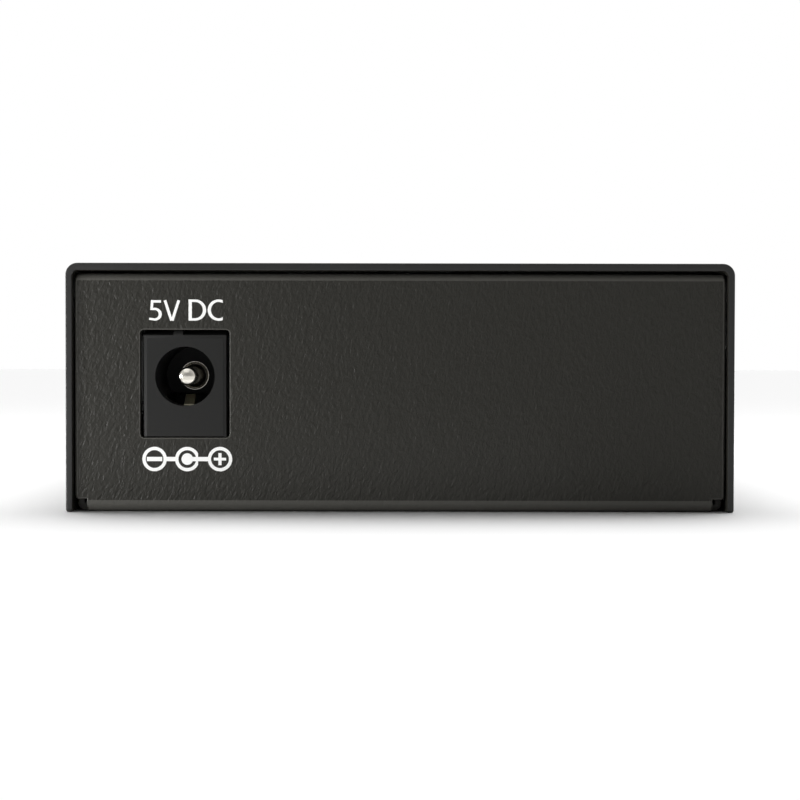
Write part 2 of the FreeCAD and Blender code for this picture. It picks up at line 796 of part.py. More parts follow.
def pin_blade():
    """Outline of the centre pin's terminal, seen from above."""
    return rectangle("jack_x - blade_width / 2", JACK_BACK,
                     "jack_x + blade_width / 2", f"{JACK_BACK} + blade_thick")


def spring_leg():
    """Outline of the sleeve spring's leg, seen from above."""
    return rectangle("jack_x - spring_width / 2", f"{SPRING_LEG} - spring_thick",
                     "jack_x + spring_width / 2", SPRING_LEG)


def grown(corners, margin):
    """A rectangle that stands a margin outside another."""
    (left, low), _, (right, high), _ = corners
    return rectangle(f"{left} - {margin}", f"{low} - {margin}",
                     f"{right} + {margin}", f"{high} + {margin}")


def make_circuit_board():
    """Fibreglass board with screw holes and a hole for every lead that passes through it."""
    body = new_body("circuit_board")
    outline = rectangle(f"-{BOARD_HALF_X}", f"-{BOARD_HALF_Y}", BOARD_HALF_X, BOARD_HALF_Y)
    extrude(body, "laminate", "XY_Plane", BOARD_UNDER, BOARD_TOP, [outline])
    chamfer(body, "corners", "Z",
            pairs((f"-{BOARD_HALF_X}", BOARD_HALF_X), (f"-{BOARD_HALF_Y}", BOARD_HALF_Y)),
            "board_corner")
    screw_holes = [(x, y, "screw_radius + lead_clearance") for x, y in standoff_spots()]
    low, high = f"{BOARD_UNDER} - sheet", f"{BOARD_TOP} + sheet"
    extrude(body, "screw_holes", "XY_Plane", low, high, circles=screw_holes, cut=True)
    lead_groups = {
        "jack_holes": [pin_blade(), switch_blade(), spring_leg()],
        "socket_holes": shield_legs() + socket_pegs(),
        "wire_holes": wire_ends(),
        "port_holes": port_pins(),
        "lamp_holes": lamp_lead_ends(),
    }
    for name, leads in lead_groups.items():
        extrude(body, name, "XY_Plane", low, high,
                [grown(lead, "lead_clearance") for lead in leads], cut=True)


def make_power_jack_housing():
    """Moulded barrel jack: square collar, arched body, deep bore and a slot for the spring."""
    body = new_body("power_jack_housing")
    left, right = "jack_x - jack_width / 2", "jack_x + jack_width / 2"
    top = f"{BOARD_TOP} + jack_height"
    floor = f"({BOARD_TOP} + slot_floor)"
    extrude(body, "barrel", "XZ_Plane", JACK_FACE, JACK_BACK,
            arches=[("jack_x", BOARD_TOP, JACK_AXIS, "jack_width / 2")])
    extrude(body, "collar", "XZ_Plane", JACK_FACE, f"{JACK_FACE} + jack_collar",
            [rectangle(left, BOARD_TOP, right, top)])
    chamfer(body, "face_sides", "Z", pairs((left, right), [JACK_FACE]), "jack_bevel")
    chamfer(body, "face_top", "X", [(JACK_FACE, top)], "jack_bevel")
    lug = "jack_x + jack_lug_offset"
    extrude(body, "lug", "XZ_Plane", f"{JACK_FACE} + jack_bevel",
            f"{JACK_FACE} + jack_bevel + jack_lug_length",
            [rectangle(f"{lug} - jack_lug_width / 2", f"{top} - jack_bevel",
                       f"{lug} + jack_lug_width / 2", f"{top} + jack_lug_height")])
    extrude(body, "bore", "XZ_Plane", f"{JACK_FACE} - sheet", f"{JACK_FACE} + jack_bore_depth",
            circles=[("jack_x", JACK_AXIS, "jack_bore")], cut=True)
    mouth = "(jack_bore + jack_mouth_bevel)"
    bevel = [
        (f"{JACK_FACE} - jack_mouth_bevel", "0"),
        (f"{JACK_FACE} - jack_mouth_bevel", f"{mouth} + jack_mouth_bevel"),
        (f"{JACK_FACE} + jack_mouth_bevel", "jack_bore"),
        (f"{JACK_FACE} + jack_mouth_bevel", "0"),
    ]
    revolve(body, "mouth", "YZ_Plane", "jack_x", ("0", JACK_AXIS), [bevel], "H_Axis", cut=True)
    extrude(body, "pin_hole", "XZ_Plane", JACK_FACE, f"{JACK_BACK} + sheet",
            circles=[("jack_x", JACK_AXIS, "pin_tail_radius + foot_clearance")], cut=True)
    slot = rectangle("jack_x - slot_width / 2", floor, "jack_x + slot_width / 2",
                     f"{JACK_AXIS} - slot_top")
    extrude(body, "spring_slot", "XZ_Plane", f"{JACK_FACE} + slot_start",
            f"{JACK_FACE} + slot_end", [slot], cut=True)
    extrude(body, "leg_slot", "XY_Plane", f"{BOARD_TOP} - sheet", f"{floor} + sheet",
            [grown(spring_leg(), "lead_clearance")], cut=True)


def make_power_jack_pin():
    """Turned centre pin with a domed tip, a root flange and a terminal riveted behind."""
    body = new_body("power_jack_pin")
    root, tip = f"({JACK_FACE} + jack_bore_depth)", f"({JACK_FACE} + pin_set)"
    profile = [
        (tip, "0"), (tip, "pin_radius - pin_dome * 0.75"),
        (f"{tip} + pin_dome / 3", "pin_radius - pin_dome / 4"), (f"{tip} + pin_dome", "pin_radius"),
        (f"{root} - pin_root_length", "pin_radius"),
        (f"{root} - pin_root_length", "pin_root_radius"), (root, "pin_root_radius"),
        (root, "pin_tail_radius"), (JACK_BACK, "pin_tail_radius"), (JACK_BACK, "0"),
    ]
    revolve(body, "pin", "YZ_Plane", "jack_x", ("0", JACK_AXIS), [profile], "H_Axis")
    (left, low), _, (right, high), _ = pin_blade()
    extrude(body, "terminal", "XZ_Plane", low, high,
            [rectangle(left, LEAD_LOW, right, f"{JACK_AXIS} + blade_width / 2")])


def make_power_jack_spring():
    """Leaf that rises from the jack's floor and presses on the plug's sleeve."""
    body = new_body("power_jack_spring")
    base = f"({BOARD_TOP} + slot_floor + foot_clearance)"
    crest = f"({JACK_FACE} + spring_crest)"
    high = f"({JACK_AXIS} - spring_rise)"
    profile = [
        (SPRING_LEG, LEAD_LOW), (SPRING_LEG, f"{base} + spring_thick"),
        (f"{crest} + spring_ramp", f"{base} + spring_thick"), (crest, high),
        (f"{crest} - spring_nose", f"{high} - spring_width"),
        (f"{crest} - spring_nose", f"{high} - spring_width - spring_thick"),
        (crest, f"{high} - spring_thick"),
        (f"{crest} + spring_ramp", base), (f"{SPRING_LEG} - spring_thick", base),
        (f"{SPRING_LEG} - spring_thick", LEAD_LOW),
    ]
    extrude(body, "bent_leaf", "YZ_Plane", "jack_x - spring_width / 2",
            "jack_x + spring_width / 2", [profile])


def make_power_jack_switch_contact():
    """Flat side terminal of the power jack."""
    body = new_body("power_jack_switch_contact")
    extrude(body, "terminal", "XY_Plane", LEAD_LOW, f"{JACK_AXIS} - spring_rise", [switch_blade()])


def plug_outline(margin):
    """Stepped outline of an RJ45 plug with its key and latch underneath."""
    widths = ["plug_width", "key_width", "latch_width"]
    levels = [f"({PLUG_TOP} - plug_height)"]
    levels.append(f"({levels[0]} - key_height)")
    levels.append(f"({levels[1]} - latch_height)")
    right = []
    ceiling = f"{PLUG_TOP} + {margin}"
    for width, level in zip(widths, levels):
        right += [(f"socket_x + {width} / 2 + {margin}", ceiling),
                  (f"socket_x + {width} / 2 + {margin}", f"{level} - {margin}")]
        ceiling = f"{level} - {margin}"
    left = [(x.replace("socket_x + ", "socket_x - ").replace(f"+ {margin}", f"- {margin}"), z)
            for x, z in reversed(right)]
    return right + left


def make_rj45_shield():
    """Folded shield round the RJ45 socket, with legs and earthing fingers."""
    body = new_body("rj45_shield")
    left, right = "socket_x - socket_width / 2", "socket_x + socket_width / 2"
    extrude(body, "shell", "XZ_Plane", SOCKET_BACK, PORT_FACE,
            [rectangle(left, BOARD_TOP, right, SOCKET_TOP)])
    extrude(body, "inside", "XZ_Plane", f"{SOCKET_BACK} + shield_thick",
            f"{PORT_FACE} - shield_thick",
            [rectangle(f"{left} + shield_thick", f"{BOARD_TOP} - sheet", f"{right} - shield_thick",
                       f"{SOCKET_TOP} - shield_thick")], cut=True)
    extrude(body, "plug_window", "XZ_Plane", f"{PORT_FACE} - 2 * shield_thick",
            f"{PORT_FACE} + sheet", [plug_outline("shield_thick")], cut=True)
    extrude(body, "legs", "XY_Plane", LEAD_LOW, f"{BOARD_TOP} + sheet", shield_legs())
    front = f"({PORT_FACE} - 2 * shield_thick)"
    finger = [
        (front, f"{SOCKET_TOP} - shield_thick / 2"), (front, SOCKET_TOP),
        (f"{front} - finger_length * 0.2", f"{SOCKET_TOP} + finger_rise"),
        (f"{front} - finger_length * 0.6", f"{SOCKET_TOP} + finger_rise"),
        (f"{front} - finger_length", SOCKET_TOP),
        (f"{front} - finger_length", f"{SOCKET_TOP} - shield_thick / 2"),
    ]
    for name, offset in (("left", "-socket_width / 4"), ("right", "socket_width / 4")):
        extrude(body, f"{name}_finger", "YZ_Plane", f"socket_x + {offset} - finger_width / 2",
                f"socket_x + {offset} + finger_width / 2", [finger])


def make_rj45_housing():
    """Moulded insert with the stepped plug cavity, wire channels and two locating pegs."""
    body = new_body("rj45_housing")
    skin = "(shield_thick + shield_gap)"
    left, right = f"socket_x - socket_width / 2 + {skin}", f"socket_x + socket_width / 2 - {skin}"
    back, front = f"({SOCKET_BACK} + {skin})", f"({PORT_FACE} - {skin})"
    top = f"({SOCKET_TOP} - {skin})"
    extrude(body, "insert", "XZ_Plane", back, front, [rectangle(left, BOARD_TOP, right, top)])
    extrude(body, "plug_cavity", "XZ_Plane", f"{PORT_FACE} - plug_depth", f"{PORT_FACE} + sheet",
            [plug_outline("0")], cut=True)
    row_half = "(wire_count * wire_pitch / 2)"
    row_left, row_right = f"socket_x - {row_half}", f"socket_x + {row_half}"
    entry = f"({PORT_FACE} - wire_entry)"
    extrude(body, "top_channel", "XY_Plane", f"{top} - wire_channel", f"{top} + sheet",
            [rectangle(row_left, f"{back} - sheet", row_right, entry)], cut=True)
    extrude(body, "back_channel", "XY_Plane", f"{BOARD_TOP} - sheet", f"{top} + sheet",
            [rectangle(row_left, f"{back} - sheet", row_right, f"{back} + wire_channel")],
            cut=True)
    extrude(body, "wire_entry_slot", "XY_Plane", f"{PLUG_TOP} - plug_height / 2",
            f"{top} + sheet",
            [rectangle(row_left, f"{entry} - 4 * wire_thick", row_right, entry)], cut=True)
    extrude(body, "pegs", "XY_Plane", LEAD_LOW, f"{BOARD_TOP} + sheet", socket_pegs())


def make_rj45_contacts():
    """Sprung contact wires that run over the insert and slope back into the plug cavity."""
    body = new_body("rj45_contacts")
    gap = "foot_clearance"
    back = f"({SOCKET_BACK} + shield_thick + shield_gap + {gap})"
    top = f"({SOCKET_TOP} - shield_thick - shield_gap - {gap})"
    entry = f"({PORT_FACE} - wire_entry - {gap})"
    end = f"({PORT_FACE} - wire_entry - {gap} - wire_run)"
    profile = [
        (back, LEAD_LOW), (back, top), (entry, top), (entry, f"{PLUG_TOP} - 2 * wire_thick"),
        (end, f"{PLUG_TOP} - wire_drop - wire_thick"), (end, f"{PLUG_TOP} - wire_drop"),
        (f"{entry} - wire_thick", f"{PLUG_TOP} - wire_thick"),
        (f"{entry} - wire_thick", f"{top} - wire_thick"),
        (f"{back} + wire_thick", f"{top} - wire_thick"), (f"{back} + wire_thick", LEAD_LOW),
    ]
    first = wire_spots()[0]
    extrude(body, "wire", "YZ_Plane", f"{first} - wire_width / 2", f"{first} + wire_width / 2",
            [profile])
    repeat_whole(body, "wires", "X", "wire_pitch", "wire_count")


def fibre_cavity(x):
    """Outline of one SC plug cavity with its key slot on top."""
    side, key = "fibre_plug_width / 2", "fibre_key_width / 2"
    low, high = f"{FIBRE_AXIS} - fibre_plug_height / 2", f"{FIBRE_AXIS} + fibre_plug_height / 2"
    key_top = f"{high} + fibre_key_height"
    return [
        (f"{x} - {side}", low), (f"{x} + {side}", low), (f"{x} + {side}", high),
        (f"{x} + {key}", high), (f"{x} + {key}", key_top), (f"{x} - {key}", key_top),
        (f"{x} - {key}", high), (f"{x} - {side}", high),
    ]


def make_fibre_receptacle():
    """Moulded duplex receptacle with two keyed plug cavities side by side."""
    body = new_body("fibre_receptacle")
    left, right = "fibre_x - fibre_width / 2", "fibre_x + fibre_width / 2"
    top = f"{BOARD_TOP} + fibre_port_height"
    extrude(body, "block", "XZ_Plane", FIBRE_BACK, PORT_FACE,
            [rectangle(left, BOARD_TOP, right, top)])
    chamfer(body, "face_sides", "Z", pairs((left, right), [PORT_FACE]), "edge_break")
    chamfer(body, "face_levels", "X", pairs([PORT_FACE], (BOARD_TOP, top)), "edge_break")
    for name, x in (("left", FIBRE_LEFT), ("right", FIBRE_RIGHT)):
        extrude(body, f"{name}_cavity", "XZ_Plane", FERRULE_ROOT, f"{PORT_FACE} + sheet",
                [fibre_cavity(x)], cut=True)
    relief = [rectangle(f"{side} - case_groove", f"{BOARD_TOP} + fibre_floor",
                        f"{side} + case_groove", f"{top} - fibre_floor") for side in (left, right)]
    extrude(body, "side_reliefs", "XZ_Plane", f"{FIBRE_BACK} - sheet",
            f"{FERRULE_ROOT} + sleeve_length", relief, cut=True)


def make_ferrule_sleeves():
    """Sleeves that line up the fibre ferrules, open at the front."""
    body = new_body("ferrule_sleeves")
    rings = [(x, FIBRE_AXIS, "sleeve_radius") for x in (FIBRE_LEFT, FIBRE_RIGHT)]
    bores = [(x, FIBRE_AXIS, "ferrule_radius") for x in (FIBRE_LEFT, FIBRE_RIGHT)]
    tip = f"({FERRULE_ROOT} + sleeve_length)"
    extrude(body, "sleeves", "XZ_Plane", FERRULE_ROOT, tip, circles=rings)
    extrude(body, "bores", "XZ_Plane", f"{FERRULE_ROOT} + latch_base", f"{tip} + sheet",
            circles=bores, cut=True)


def make_fibre_latches():
    """Inner holders, each a base plate with two sprung arms that hook the plug."""
    body = new_body("fibre_latches")
    plate_end = f"({FERRULE_ROOT} + latch_base)"
    plate = centred(FIBRE_LEFT, FIBRE_AXIS, "(fibre_plug_width - latch_hook)",
                    "(fibre_plug_height - latch_hook)")
    extrude(body, "plate", "XZ_Plane", FERRULE_ROOT, plate_end, [plate])
    extrude(body, "sleeve_hole", "XZ_Plane", f"{FERRULE_ROOT} - sheet", f"{plate_end} + sheet",
            circles=[(FIBRE_LEFT, FIBRE_AXIS, "sleeve_radius + foot_clearance")], cut=True)
    tip = f"({FERRULE_ROOT} + latch_arm_length)"
    inner, outer = "latch_arm_gap", "(latch_arm_gap + latch_arm_thick)"
    arm = [(inner, FERRULE_ROOT), (outer, FERRULE_ROOT), (outer, tip), (inner, tip),
           (f"{inner} - latch_hook", f"{tip} - latch_arm_thick"),
           (f"{inner} - latch_hook", f"{tip} - 2 * latch_hook - latch_arm_thick / 2"),
           (inner, f"{tip} - 2 * latch_hook - latch_arm_thick / 2")]
    arms = [[(f"{FIBRE_LEFT} {sign} ({x})", y) for x, y in arm] for sign in "+-"]
    extrude(body, "arms", "XY_Plane", f"{FIBRE_AXIS} - latch_arm_height / 2",
            f"{FIBRE_AXIS} + latch_arm_height / 2", arms)
    repeat_whole(body, "holders", "X", "fibre_pitch", "2")


def make_transceiver_case():
    """Case of the optical transceiver behind its receptacle."""
    body = new_body("transceiver_case")
    left, right = "fibre_x - fibre_width / 2", "fibre_x + fibre_width / 2"
    top = f"{BOARD_TOP} + fibre_case_height"
    extrude(body, "block", "XZ_Plane", CASE_BACK, FIBRE_BACK,
            [rectangle(left, BOARD_TOP, right, top)])
    chamfer(body, "top_edges", "Y", pairs((left, right), [top]), "case_groove")
    grooves = [rectangle(f"{side} - case_groove", f"{BOARD_TOP} + fibre_floor",
                         f"{side} + case_groove", f"{BOARD_TOP} + 2 * fibre_floor")
               for side in (left, right)]
    extrude(body, "side_grooves", "XZ_Plane", f"{CASE_BACK} - sheet", f"{FIBRE_BACK} + sheet",
            grooves, cut=True)


def make_transceiver_pins():
    """Row of square signal pins under the transceiver."""
    body = new_body("transceiver_pins")
    extrude(body, "pins", "XY_Plane", LEAD_LOW, BOARD_TOP, port_pins())


def make_lamp_holder():
    """Block that stands on the board and lines the lamps up with the panel's openings."""
    body = new_body("lamp_holder")
    top = f"({LAMP_LOW} + (lamp_rows - 1) * lamp_pitch_z + lamp_height / 2 + holder_wall)"
    half = "((lamp_columns - 1) / 2 * lamp_pitch_x + lamp_width / 2 + holder_wall)"
    left, right = f"lamp_x - {half}", f"lamp_x + {half}"
    extrude(body, "block", "XZ_Plane", HOLDER_BACK, HOLDER_FACE,
            [rectangle(left, BOARD_TOP, right, top)])
    chamfer(body, "top_edges", "Y", pairs((left, right), [top]), "holder_wall / 2")
    extrude(body, "sleeves", "XZ_Plane", f"{HOLDER_BACK} - sheet", f"{HOLDER_FACE} + sheet",
            [lamp_outline(spot, "lamp_clearance / 2") for spot in lamp_spots()], cut=True)


def make_status_lamps():
    """Flat rectangular lamps with bevelled faces in the front panel."""
    body = new_body("status_lamps")
    tip = f"({PANEL} + lamp_proud)"
    spots = lamp_spots()
    extrude(body, "lenses", "XZ_Plane", HOLDER_BACK, tip,
            [lamp_outline(spot, "0") for spot in spots])
    levels = [f"{z} {sign} lamp_height / 2" for x, z in spots for sign in "-+"]
    sides = [f"{x} {sign} lamp_width / 2" for x, z in spots for sign in "-+"]
    chamfer(body, "level_bevels", "X", pairs([tip], levels), "lamp_bevel")
    chamfer(body, "side_bevels", "Z", pairs(sides, [tip]), "lamp_bevel")


def make_lamp_leads():
    """Square leads that run back from each lamp and turn down through the board."""
    body = new_body("lamp_leads")
    root = HOLDER_BACK
    for number, (x, bend, level) in enumerate(lamp_lead_spots()):
        lead = [
            (root, f"{level} + lamp_lead / 2"), (bend, f"{level} + lamp_lead / 2"),
            (bend, LEAD_LOW), (f"{bend} + lamp_lead", LEAD_LOW),
            (f"{bend} + lamp_lead", f"{level} - lamp_lead / 2"), (root, f"{level} - lamp_lead / 2"),
        ]
        extrude(body, f"lead_{number}", "YZ_Plane", f"{x} - lamp_lead / 2",
                f"{x} + lamp_lead / 2", [lead])


def gull_wing(edge, bend):
    """Side view of one gull-wing lead that leaves a package at an edge and lies on the board."""
    low = BOARD_TOP
    high = f"({BOARD_TOP} + chip_lift + chip_height / 2)"
    toe = f"({edge} + {bend} * chip_lead_reach)"
    knee = f"({edge} + {bend} * chip_lead_reach * 0.4)"
    step = f"{bend} * chip_lead_thick"
    return [
        (edge, high), (knee, high), (knee, f"{low} + chip_lead_thick"),
        (toe, f"{low} + chip_lead_thick"), (toe, low), (f"{knee} - {step}", low),
        (f"{knee} - {step}", f"{high} - chip_lead_thick"), (edge, f"{high} - chip_lead_thick"),
    ]


def make_package(label, x, y, width, depth, height, dot=False):
    """Moulded chip package with bevelled top edges and, on the largest, a pin-one dimple."""
    body = new_body(label)
    low, high = f"{BOARD_TOP} + chip_lift", f"{BOARD_TOP} + chip_lift + {height}"
    extrude(body, "package", "XY_Plane", low, high, [centred(x, y, width, depth)])
    sides = (f"{x} - {width} / 2", f"{x} + {width} / 2")
    ends = (f"{y} - {depth} / 2", f"{y} + {depth} / 2")
    chamfer(body, "side_bevels", "Y", pairs(sides, [high]), "edge_break")
    chamfer(body, "end_bevels", "X", pairs(ends, [high]), "edge_break")
    if dot:
        extrude(body, "dimple", "XY_Plane", f"{high} - edge_break", f"{high} + sheet",
                circles=[(f"{sides[0]} + 4 * edge_break", f"{ends[0]} + 4 * edge_break",
                          "2 * edge_break")], cut=True)
    return body


def make_converter_chip():
    """Square quad flat package in the middle of the board."""
    make_package("converter_chip", "chip_x", "chip_y", "chip_size", "chip_size", "chip_height",
                 dot=True)
    body = new_body("converter_chip_leads")
    row_start = "(chip_leads - 1) / 2 * chip_lead_pitch"
    for name, bend in (("back", "-1"), ("front", "1")):
        first = f"(chip_x - {row_start})"
        extrude(body, f"{name}_lead", "YZ_Plane", f"{first} - chip_lead_width / 2",
                f"{first} + chip_lead_width / 2",
                [gull_wing(f"(chip_y + {bend} * chip_size / 2)", bend)])
    repeat_whole(body, "rows", "X", "chip_lead_pitch", "chip_leads")
    for name, bend in (("left", "-1"), ("right", "1")):
        first = f"(chip_y - {row_start})"
        lead = extrude(body, f"{name}_lead", "XZ_Plane", f"{first} - chip_lead_width / 2",
                       f"{first} + chip_lead_width / 2",
                       [gull_wing(f"(chip_x + {bend} * chip_size / 2)", bend)])
        repeat(body, f"{name}_column", [lead], "Y", "chip_lead_pitch", "chip_leads")


def make_lan_transformer():
    """Signal transformer behind the RJ45 socket, with a row of leads on each long side."""
    make_package("lan_transformer", "transformer_x", TRANSFORMER_Y, "transformer_width",
                 "transformer_depth", "transformer_height")
    body = new_body("lan_transformer_leads")
    first = "(transformer_x - (transformer_leads - 1) / 2 * transformer_pitch)"
    for name, bend in (("back", "-1"), ("front", "1")):
        extrude(body, f"{name}_lead", "YZ_Plane", f"{first} - chip_lead_width / 2",
                f"{first} + chip_lead_width / 2",
                [gull_wing(f"({TRANSFORMER_Y} + {bend} * transformer_depth / 2)", bend)])
    repeat_whole(body, "rows", "X", "transformer_pitch", "transformer_leads")


def make_clock_crystal():
    """Oval metal can on a rimmed base."""
    body = new_body("clock_crystal")
    half = "(crystal_length / 2 - crystal_radius)"
    for name, low, high, radius in (
        ("rim", BOARD_TOP, f"{BOARD_TOP} + crystal_rim", "crystal_radius"),
        ("can", f"{BOARD_TOP} + crystal_rim", f"{BOARD_TOP} + crystal_height",
         "(crystal_radius - crystal_rim)"),
    ):
        extrude(body, name, "XY_Plane", low, high,
                slots=[("crystal_x", f"crystal_y - {half}", f"crystal_y + {half}", radius)])

def make_voltage_regulator():
    """Small power package with a heat tab on one side and three leads on the other."""
    body = make_package("voltage_regulator", "regulator_x", REGULATOR_Y, "regulator_width",
                        "regulator_depth", "regulator_height")
    edge = f"({REGULATOR_Y} - regulator_depth / 2)"
    for number in (-1, 0, 1):
        extrude(body, f"lead_{number + 1}", "XY_Plane", BOARD_TOP, f"{BOARD_TOP} + 2 * chip_lift",
                [centred(f"regulator_x + {number} * 2 * transformer_pitch", edge,
                         "2 * chip_lead_width", "2 * chip_lead_reach")])
    extrude(body, "heat_tab", "XY_Plane", BOARD_TOP, f"{BOARD_TOP} + 2 * chip_lift",
            [centred("regulator_x", f"({REGULATOR_Y} + regulator_depth / 2)", "regulator_tab",
                     "2 * chip_lead_reach")])


def make_power_inductor():
    """Shielded inductor: a ferrite block with cut corners and a round recess on top."""
    body = new_body("power_inductor")
    top = f"({BOARD_TOP} + inductor_height)"
    extrude(body, "shield", "XY_Plane", BOARD_TOP, top,
            [centred("inductor_x", INDUCTOR_Y, "inductor_size", "inductor_size")])
    corners = pairs(("inductor_x - inductor_size / 2", "inductor_x + inductor_size / 2"),
                    (f"{INDUCTOR_Y} - inductor_size / 2", f"{INDUCTOR_Y} + inductor_size / 2"))
    chamfer(body, "corners", "Z", corners, "inductor_corner")
    extrude(body, "core_recess", "XY_Plane", f"{top} - sheet / 2", f"{top} + sheet",
            circles=[("inductor_x", INDUCTOR_Y, "inductor_core")], cut=True)


def make_filter_capacitors():
    """Electrolytic cans with a bevelled shoulder, on square seats."""
    body = new_body("filter_capacitors")
    seat, top = f"({BOARD_TOP} + can_base)", f"({BOARD_TOP} + can_height)"
    profile = [
        ("0", seat), ("can_radius", seat), ("can_radius", f"{top} - edge_break"),
        ("can_radius - edge_break", top), ("0", top),
    ]
    revolve(body, "can", "XZ_Plane", CAN_Y, ("can_x", "0"), [profile], "V_Axis")
    extrude(body, "seat", "XY_Plane", BOARD_TOP, seat,
            [centred("can_x", CAN_Y, "2 * can_radius", "2 * can_radius")])
    repeat_whole(body, "cans", "Y", "can_pitch", "can_count")


def make_terminal_chip(label, x, y, length, width, height):
    """Small moulded part with wrap-round metal ends."""
    body = new_body(label)
    high = f"{BOARD_TOP} + {height}"
    extrude(body, "middle", "XY_Plane", f"{BOARD_TOP} + terminal / 4", f"{high} - terminal / 4",
            [centred(x, y, f"({length} - terminal)", f"({width} - terminal / 4)")])
    for name, sign in (("left", "-"), ("right", "+")):
        extrude(body, f"{name}_end", "XY_Plane", BOARD_TOP, high,
                [centred(f"{x} {sign} ({length} - terminal) / 2", y, "terminal", width)])
    return body


def make_chip_components():
    """Block of small resistors and capacitors in rows beside the power input."""
    body = make_terminal_chip("chip_components", "small_x", SMALL_Y, "small_length",
                              "small_width", "small_height")
    repeat_whole(body, "columns", "X", "small_pitch_x", "small_columns")
    repeat_whole(body, "rows", "Y", "small_pitch_y", "small_rows")


def make_small_parts():
    make_terminal_chip("input_fuse", "fuse_x", FUSE_Y, "fuse_length", "fuse_width",
                       "fuse_height")
    make_terminal_chip("input_diode", "diode_x", DIODE_Y, "diode_length", "diode_width",
                       "diode_height")
    make_package("memory_chip", "memory_x", "memory_y", "memory_length", "memory_width",
                 "memory_height")


def check_and_export():
    """Stop at any failed object or bad solid, then write one STEP file for each sub-part."""
    document.recompute()
    for thing in document.Objects:
        if "Invalid" in thing.State or "Error" in thing.State:
            raise RuntimeError(f"{thing.Name} failed: {thing.State}")
    bodies = [thing for thing in document.Objects if thing.TypeId == "PartDesign::Body"]
    for body in bodies:
        if body.Shape.isNull() or not body.Shape.isValid() or not body.Shape.Solids:
            raise RuntimeError(f"{body.Label} has no valid solid")
    os.makedirs("parts", exist_ok=True)
    for body in bodies:
        body.Shape.exportStep(f"parts/{body.Label}.step")


make_top_cover()
make_base_tray()
make_cover_screws()
make_board_standoffs()
make_board_screws()
make_circuit_board()
make_power_jack_housing()
make_power_jack_pin()
make_power_jack_spring()
make_power_jack_switch_contact()
make_rj45_shield()
make_rj45_housing()
make_rj45_contacts()
make_fibre_receptacle()
make_ferrule_sleeves()
make_fibre_latches()
make_transceiver_case()
make_transceiver_pins()
make_lamp_holder()
make_status_lamps()
make_lamp_leads()
make_converter_chip()
make_lan_transformer()
make_clock_crystal()
make_voltage_regulator()
make_power_inductor()
make_filter_capacitors()
make_chip_components()
make_small_parts()
check_and_export()
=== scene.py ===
"""Dresses and lights a small folded-steel fibre media converter.

Each operator finishes one group of its pieces, and the last one sets the studio.
"""
import math

import bmesh
import bpy
from bpy.props import FloatProperty, FloatVectorProperty, PointerProperty
from bpy.types import Operator, Panel, PropertyGroup
from mathutils import Matrix, Vector


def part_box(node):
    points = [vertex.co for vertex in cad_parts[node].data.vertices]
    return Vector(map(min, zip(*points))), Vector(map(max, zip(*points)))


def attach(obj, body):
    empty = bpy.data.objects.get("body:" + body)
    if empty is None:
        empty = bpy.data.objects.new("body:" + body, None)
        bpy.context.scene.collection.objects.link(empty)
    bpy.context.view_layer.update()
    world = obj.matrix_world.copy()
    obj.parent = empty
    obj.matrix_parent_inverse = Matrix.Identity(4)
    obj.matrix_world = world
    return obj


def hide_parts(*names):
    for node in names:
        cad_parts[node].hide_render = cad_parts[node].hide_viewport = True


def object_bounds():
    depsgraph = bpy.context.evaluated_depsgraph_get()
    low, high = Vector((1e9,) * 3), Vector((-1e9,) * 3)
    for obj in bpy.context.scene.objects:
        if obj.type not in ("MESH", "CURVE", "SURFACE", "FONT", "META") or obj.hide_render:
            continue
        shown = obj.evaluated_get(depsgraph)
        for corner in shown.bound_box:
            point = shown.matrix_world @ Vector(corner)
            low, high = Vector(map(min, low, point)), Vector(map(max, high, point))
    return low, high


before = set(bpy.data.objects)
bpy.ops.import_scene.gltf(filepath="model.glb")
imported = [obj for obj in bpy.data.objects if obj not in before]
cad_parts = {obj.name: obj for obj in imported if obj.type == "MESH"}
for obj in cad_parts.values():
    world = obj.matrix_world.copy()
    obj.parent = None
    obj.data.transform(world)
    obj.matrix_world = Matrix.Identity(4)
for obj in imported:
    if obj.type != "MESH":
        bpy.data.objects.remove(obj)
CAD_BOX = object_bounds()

bl_info = {
    "name": "Fibre media converter",
    "version": (1, 0, 0),
    "blender": (4, 5, 0),
    "location": "View3D > Sidebar > Converter",
    "description": "Dresses and lights a folded-steel fibre media converter",
    "category": "Object",
}

MM = 0.001
BODY = "root"
WELD = 1e-6
FLAT = math.radians(1)
SHARP = math.radians(30)
# Each printed stroke stands this much prouder than the last, so that no two tops share a plane.
PRINT_STEP = 0.0004 * MM
# The case: its outer faces, its sheet and the gap between the cover and the tray.
SIDE = CAD_BOX[1][0]
REAR = CAD_BOX[0][1]
SHEET = 0.8 * MM
CASE_GAP = 0.2 * MM
# How far the cover's inner walls and the tray's sides are moved outwards.
WALL_SHIFT = 0.08 * MM
# A height through the vents of both sides, and the top of the foot of the tray's panels, which
# takes the painted highlight.
VENT_LEVEL = 15 * MM
FOOT_TOP = 1.22 * MM
# Height of the power jack's axis.
JACK_AXIS = 14.6 * MM
# The finest patterns, drawn coarser than the real ones so that they show: a mould's
# spark-eroded grain, the marks of rolling or turning, and the mesh of the printing screen.
SPARK_GRAIN = 0.18 * MM
TOOL_MARKS = 0.15 * MM
PRINT_MESH = 0.2 * MM


def linear(hex_colour):
    """Turn an sRGB hex colour into linear red, green, blue and alpha."""
    shares = [int(hex_colour[place:place + 2], 16) / 255 for place in (1, 3, 5)]
    lit = [share / 12.92 if share <= 0.04045 else ((share + 0.055) / 1.055) ** 2.4
           for share in shares]
    return (*lit, 1.0)


def colour_property(name, description, hex_colour):
    """A colour of the finish, given as sRGB hex."""
    return FloatVectorProperty(name=name, description=description, default=linear(hex_colour),
                               subtype="COLOR", size=4, min=0, max=1)


